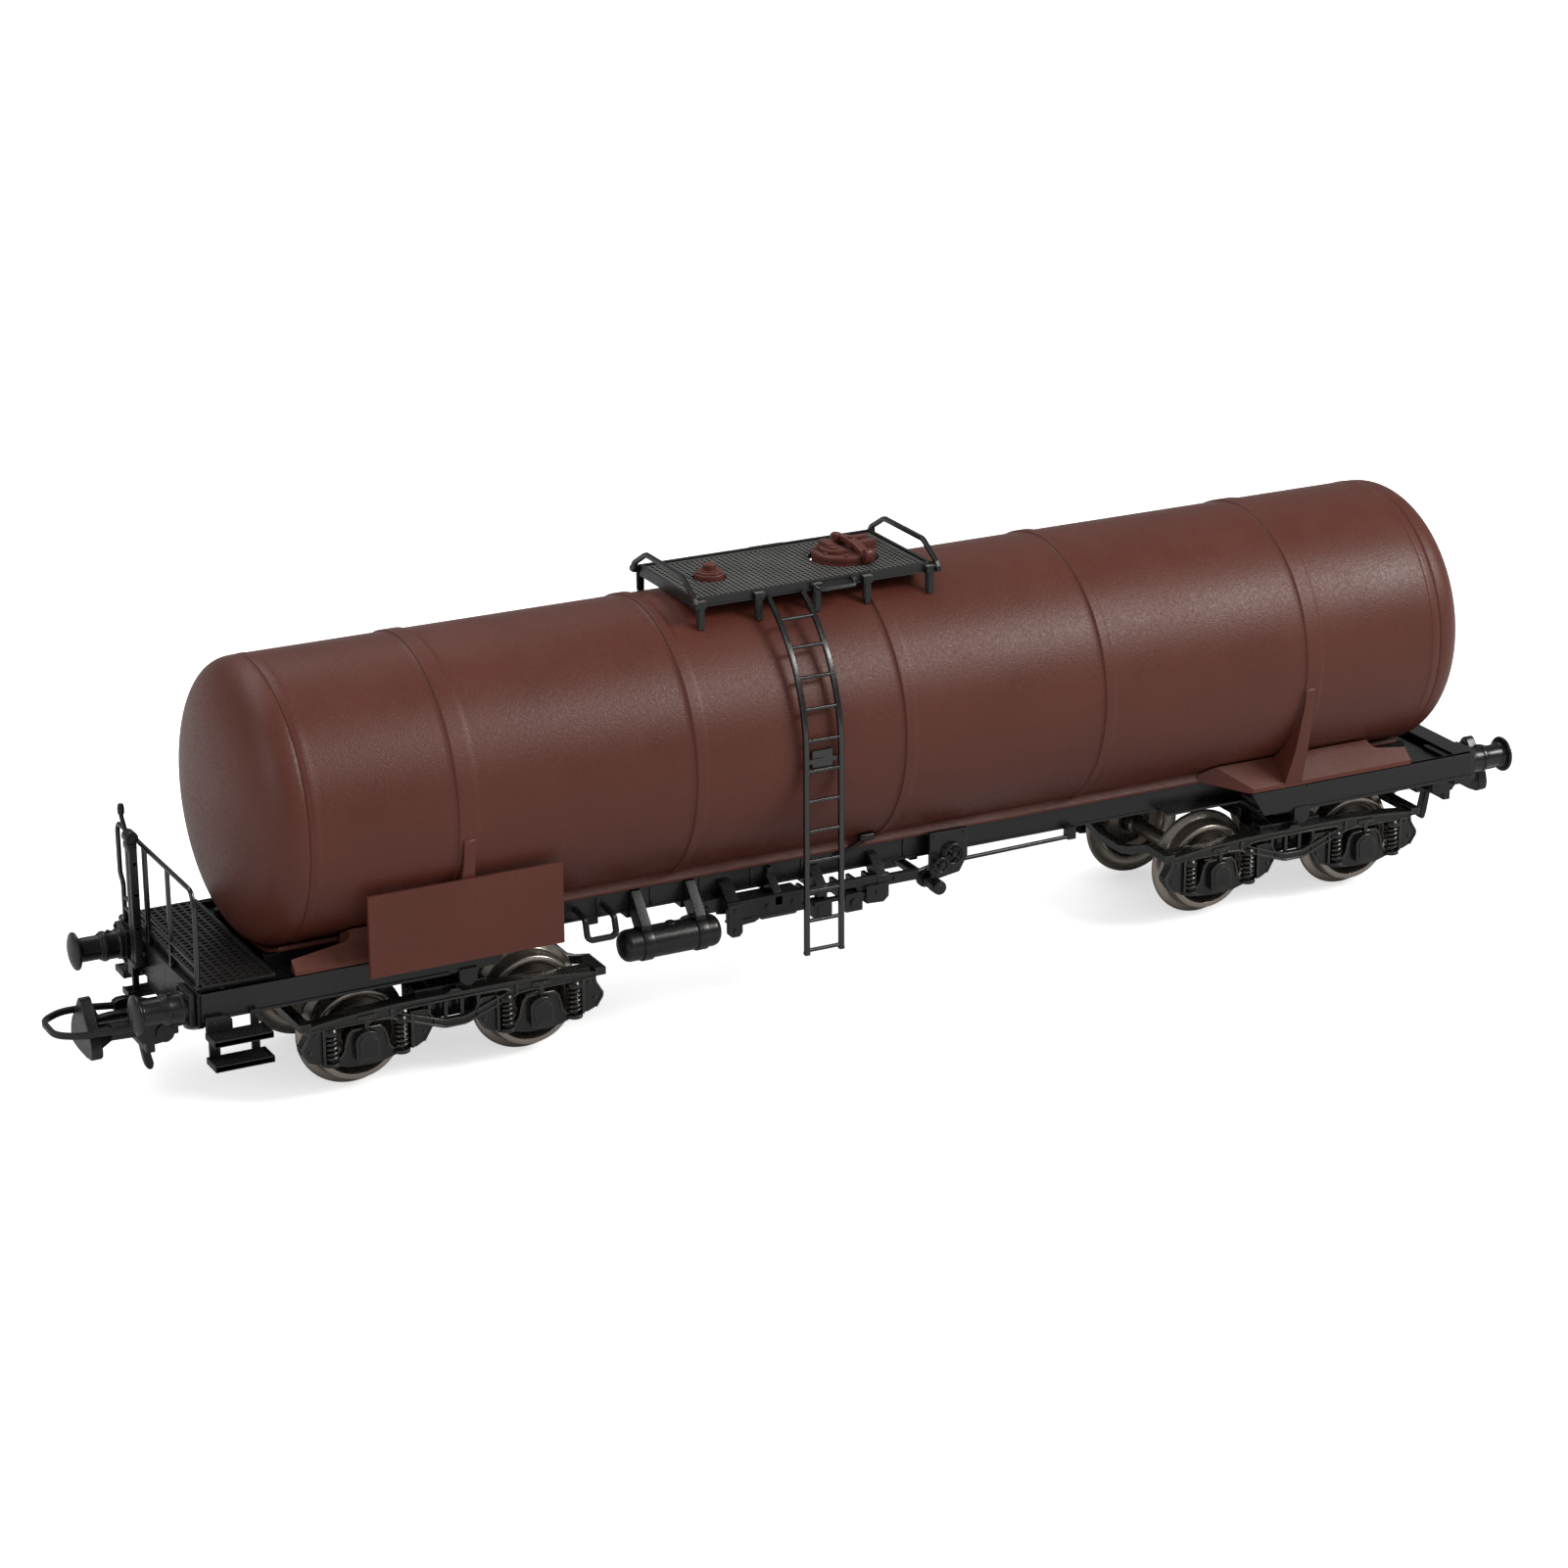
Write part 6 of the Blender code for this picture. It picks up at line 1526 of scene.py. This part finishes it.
def floor_material():
    """White paper that glows towards the camera and bounces only part of the light back."""
    mat = Shader("paper_floor")
    fibre = mat.noise(scale=900, detail=4)
    mat.surface({
        "Base Color": mat.mix(mat.remap(fibre), (0.90, 0.90, 0.905, 1), (0.94, 0.94, 0.945, 1)),
        "Roughness": 0.7,
        "Specular IOR Level": 0.2,
        "Normal": mat.bump(fibre, strength=0.05, distance=0.00005)})
    to_camera = mat.node("LightPath").outputs["Is Camera Ray"]
    mat.surface({"Emission Color": WHITE,
                 "Emission Strength": mat.math("MULTIPLY", to_camera, FLOOR_GLOW)})
    dim = mat.node("BsdfDiffuse", {"Color": tone((FLOOR_BOUNCE,) * 3)})
    paper = mat.tree.nodes["Principled BSDF"]
    pick = mat.node("MixShader", {0: to_camera, 1: dim.outputs[0], 2: paper.outputs[0]})
    fill(mat.tree, mat.tree.nodes["Material Output"], {"Surface": pick.outputs[0]})
    return mat.material


def floor():
    corners = [(FLOOR_HALF * x, FLOOR_HALF * y, 0) for x, y in ((-1, -1), (1, -1), (1, 1), (-1, 1))]
    mesh = moved(mesh_of(corners, [(0, 1, 2, 3)]), Matrix.Scale(MM, 4))
    mesh.materials.append(floor_material())
    obj = bpy.data.objects.new("studio_floor", mesh)
    bpy.context.scene.collection.objects.link(obj)


def studio_world():
    """White backdrop for the camera; dimmer for reflections than for soft light."""
    world = bpy.data.worlds.new("studio")
    bpy.context.scene.world = world
    world.use_nodes = True
    tree = world.node_tree
    rays = add_node(tree, "LightPath").outputs

    def combine(kind, a, b):
        return add_node(tree, "Math", {0: a, 1: b}, operation=kind).outputs[0]

    dimming = combine("MULTIPLY", rays["Is Glossy Ray"], WORLD_GLOSS - WORLD_SOFT)
    level = combine("ADD", WORLD_SOFT, dimming)
    level = combine("MAXIMUM", level, rays["Is Camera Ray"])
    fill(tree, tree.nodes["Background"], {"Color": WHITE, "Strength": level})


def area(name, at, target, size, watts, colour=(1, 1, 1)):
    """A rectangular light aimed at a target; places and sizes in metres."""
    light = bpy.data.lights.new(name, "AREA")
    light.shape = "RECTANGLE"
    light.size, light.size_y = size
    light.energy, light.color = watts, colour
    obj = bpy.data.objects.new(name, light)
    bpy.context.scene.collection.objects.link(obj)
    obj.location = at
    obj.rotation_mode = "QUATERNION"
    obj.rotation_quaternion = (Vector(target) - Vector(at)).to_track_quat("-Z", "Y")


def camera(at, azimuth, elevation, roll, lens):
    """A camera at a place in mm, looking from the given angles in degrees."""
    azimuth, elevation, roll = (math.radians(a) for a in (azimuth, elevation, roll))
    back = Vector((math.sin(azimuth) * math.cos(elevation),
                   -math.cos(azimuth) * math.cos(elevation), math.sin(elevation)))
    level = Vector((0, 0, 1)).cross(back).normalized()
    upright = back.cross(level)
    right = level * math.cos(roll) + upright * math.sin(roll)
    up = upright * math.cos(roll) - level * math.sin(roll)
    data = bpy.data.cameras.new("main_view")
    data.lens, data.sensor_width, data.sensor_fit = lens, 36.0, "HORIZONTAL"
    data.clip_start, data.clip_end = 0.01, 20.0
    cam = bpy.data.objects.new("main_view", data)
    bpy.context.scene.collection.objects.link(cam)
    rows = zip(right, up, back, Vector(at) * MM)
    cam.matrix_world = Matrix([*rows, (0, 0, 0, 1)])
    bpy.context.scene.camera = cam


floor()
studio_world()
area("key_softbox", at=(0.50, -0.43, 0.52), target=(0.03, 0, 0.03), size=(0.34, 0.22), watts=4.3,
     colour=(1.0, 0.975, 0.94))
area("top_softbox", at=(-0.20, 0.42, 0.75), target=(-0.02, 0, 0.02), size=(0.9, 0.4), watts=2.2)
area("end_softbox", at=(-0.80, -0.12, 0.32), target=(-0.06, 0, 0.02), size=(0.4, 0.4), watts=0.9)
camera(at=(-218.874, -418.318, 192.000), azimuth=-27.0, elevation=19.87, roll=-0.36, lens=100.36)
bpy.context.scene.view_settings.view_transform = "Standard"
bpy.context.scene.view_settings.look = "None"
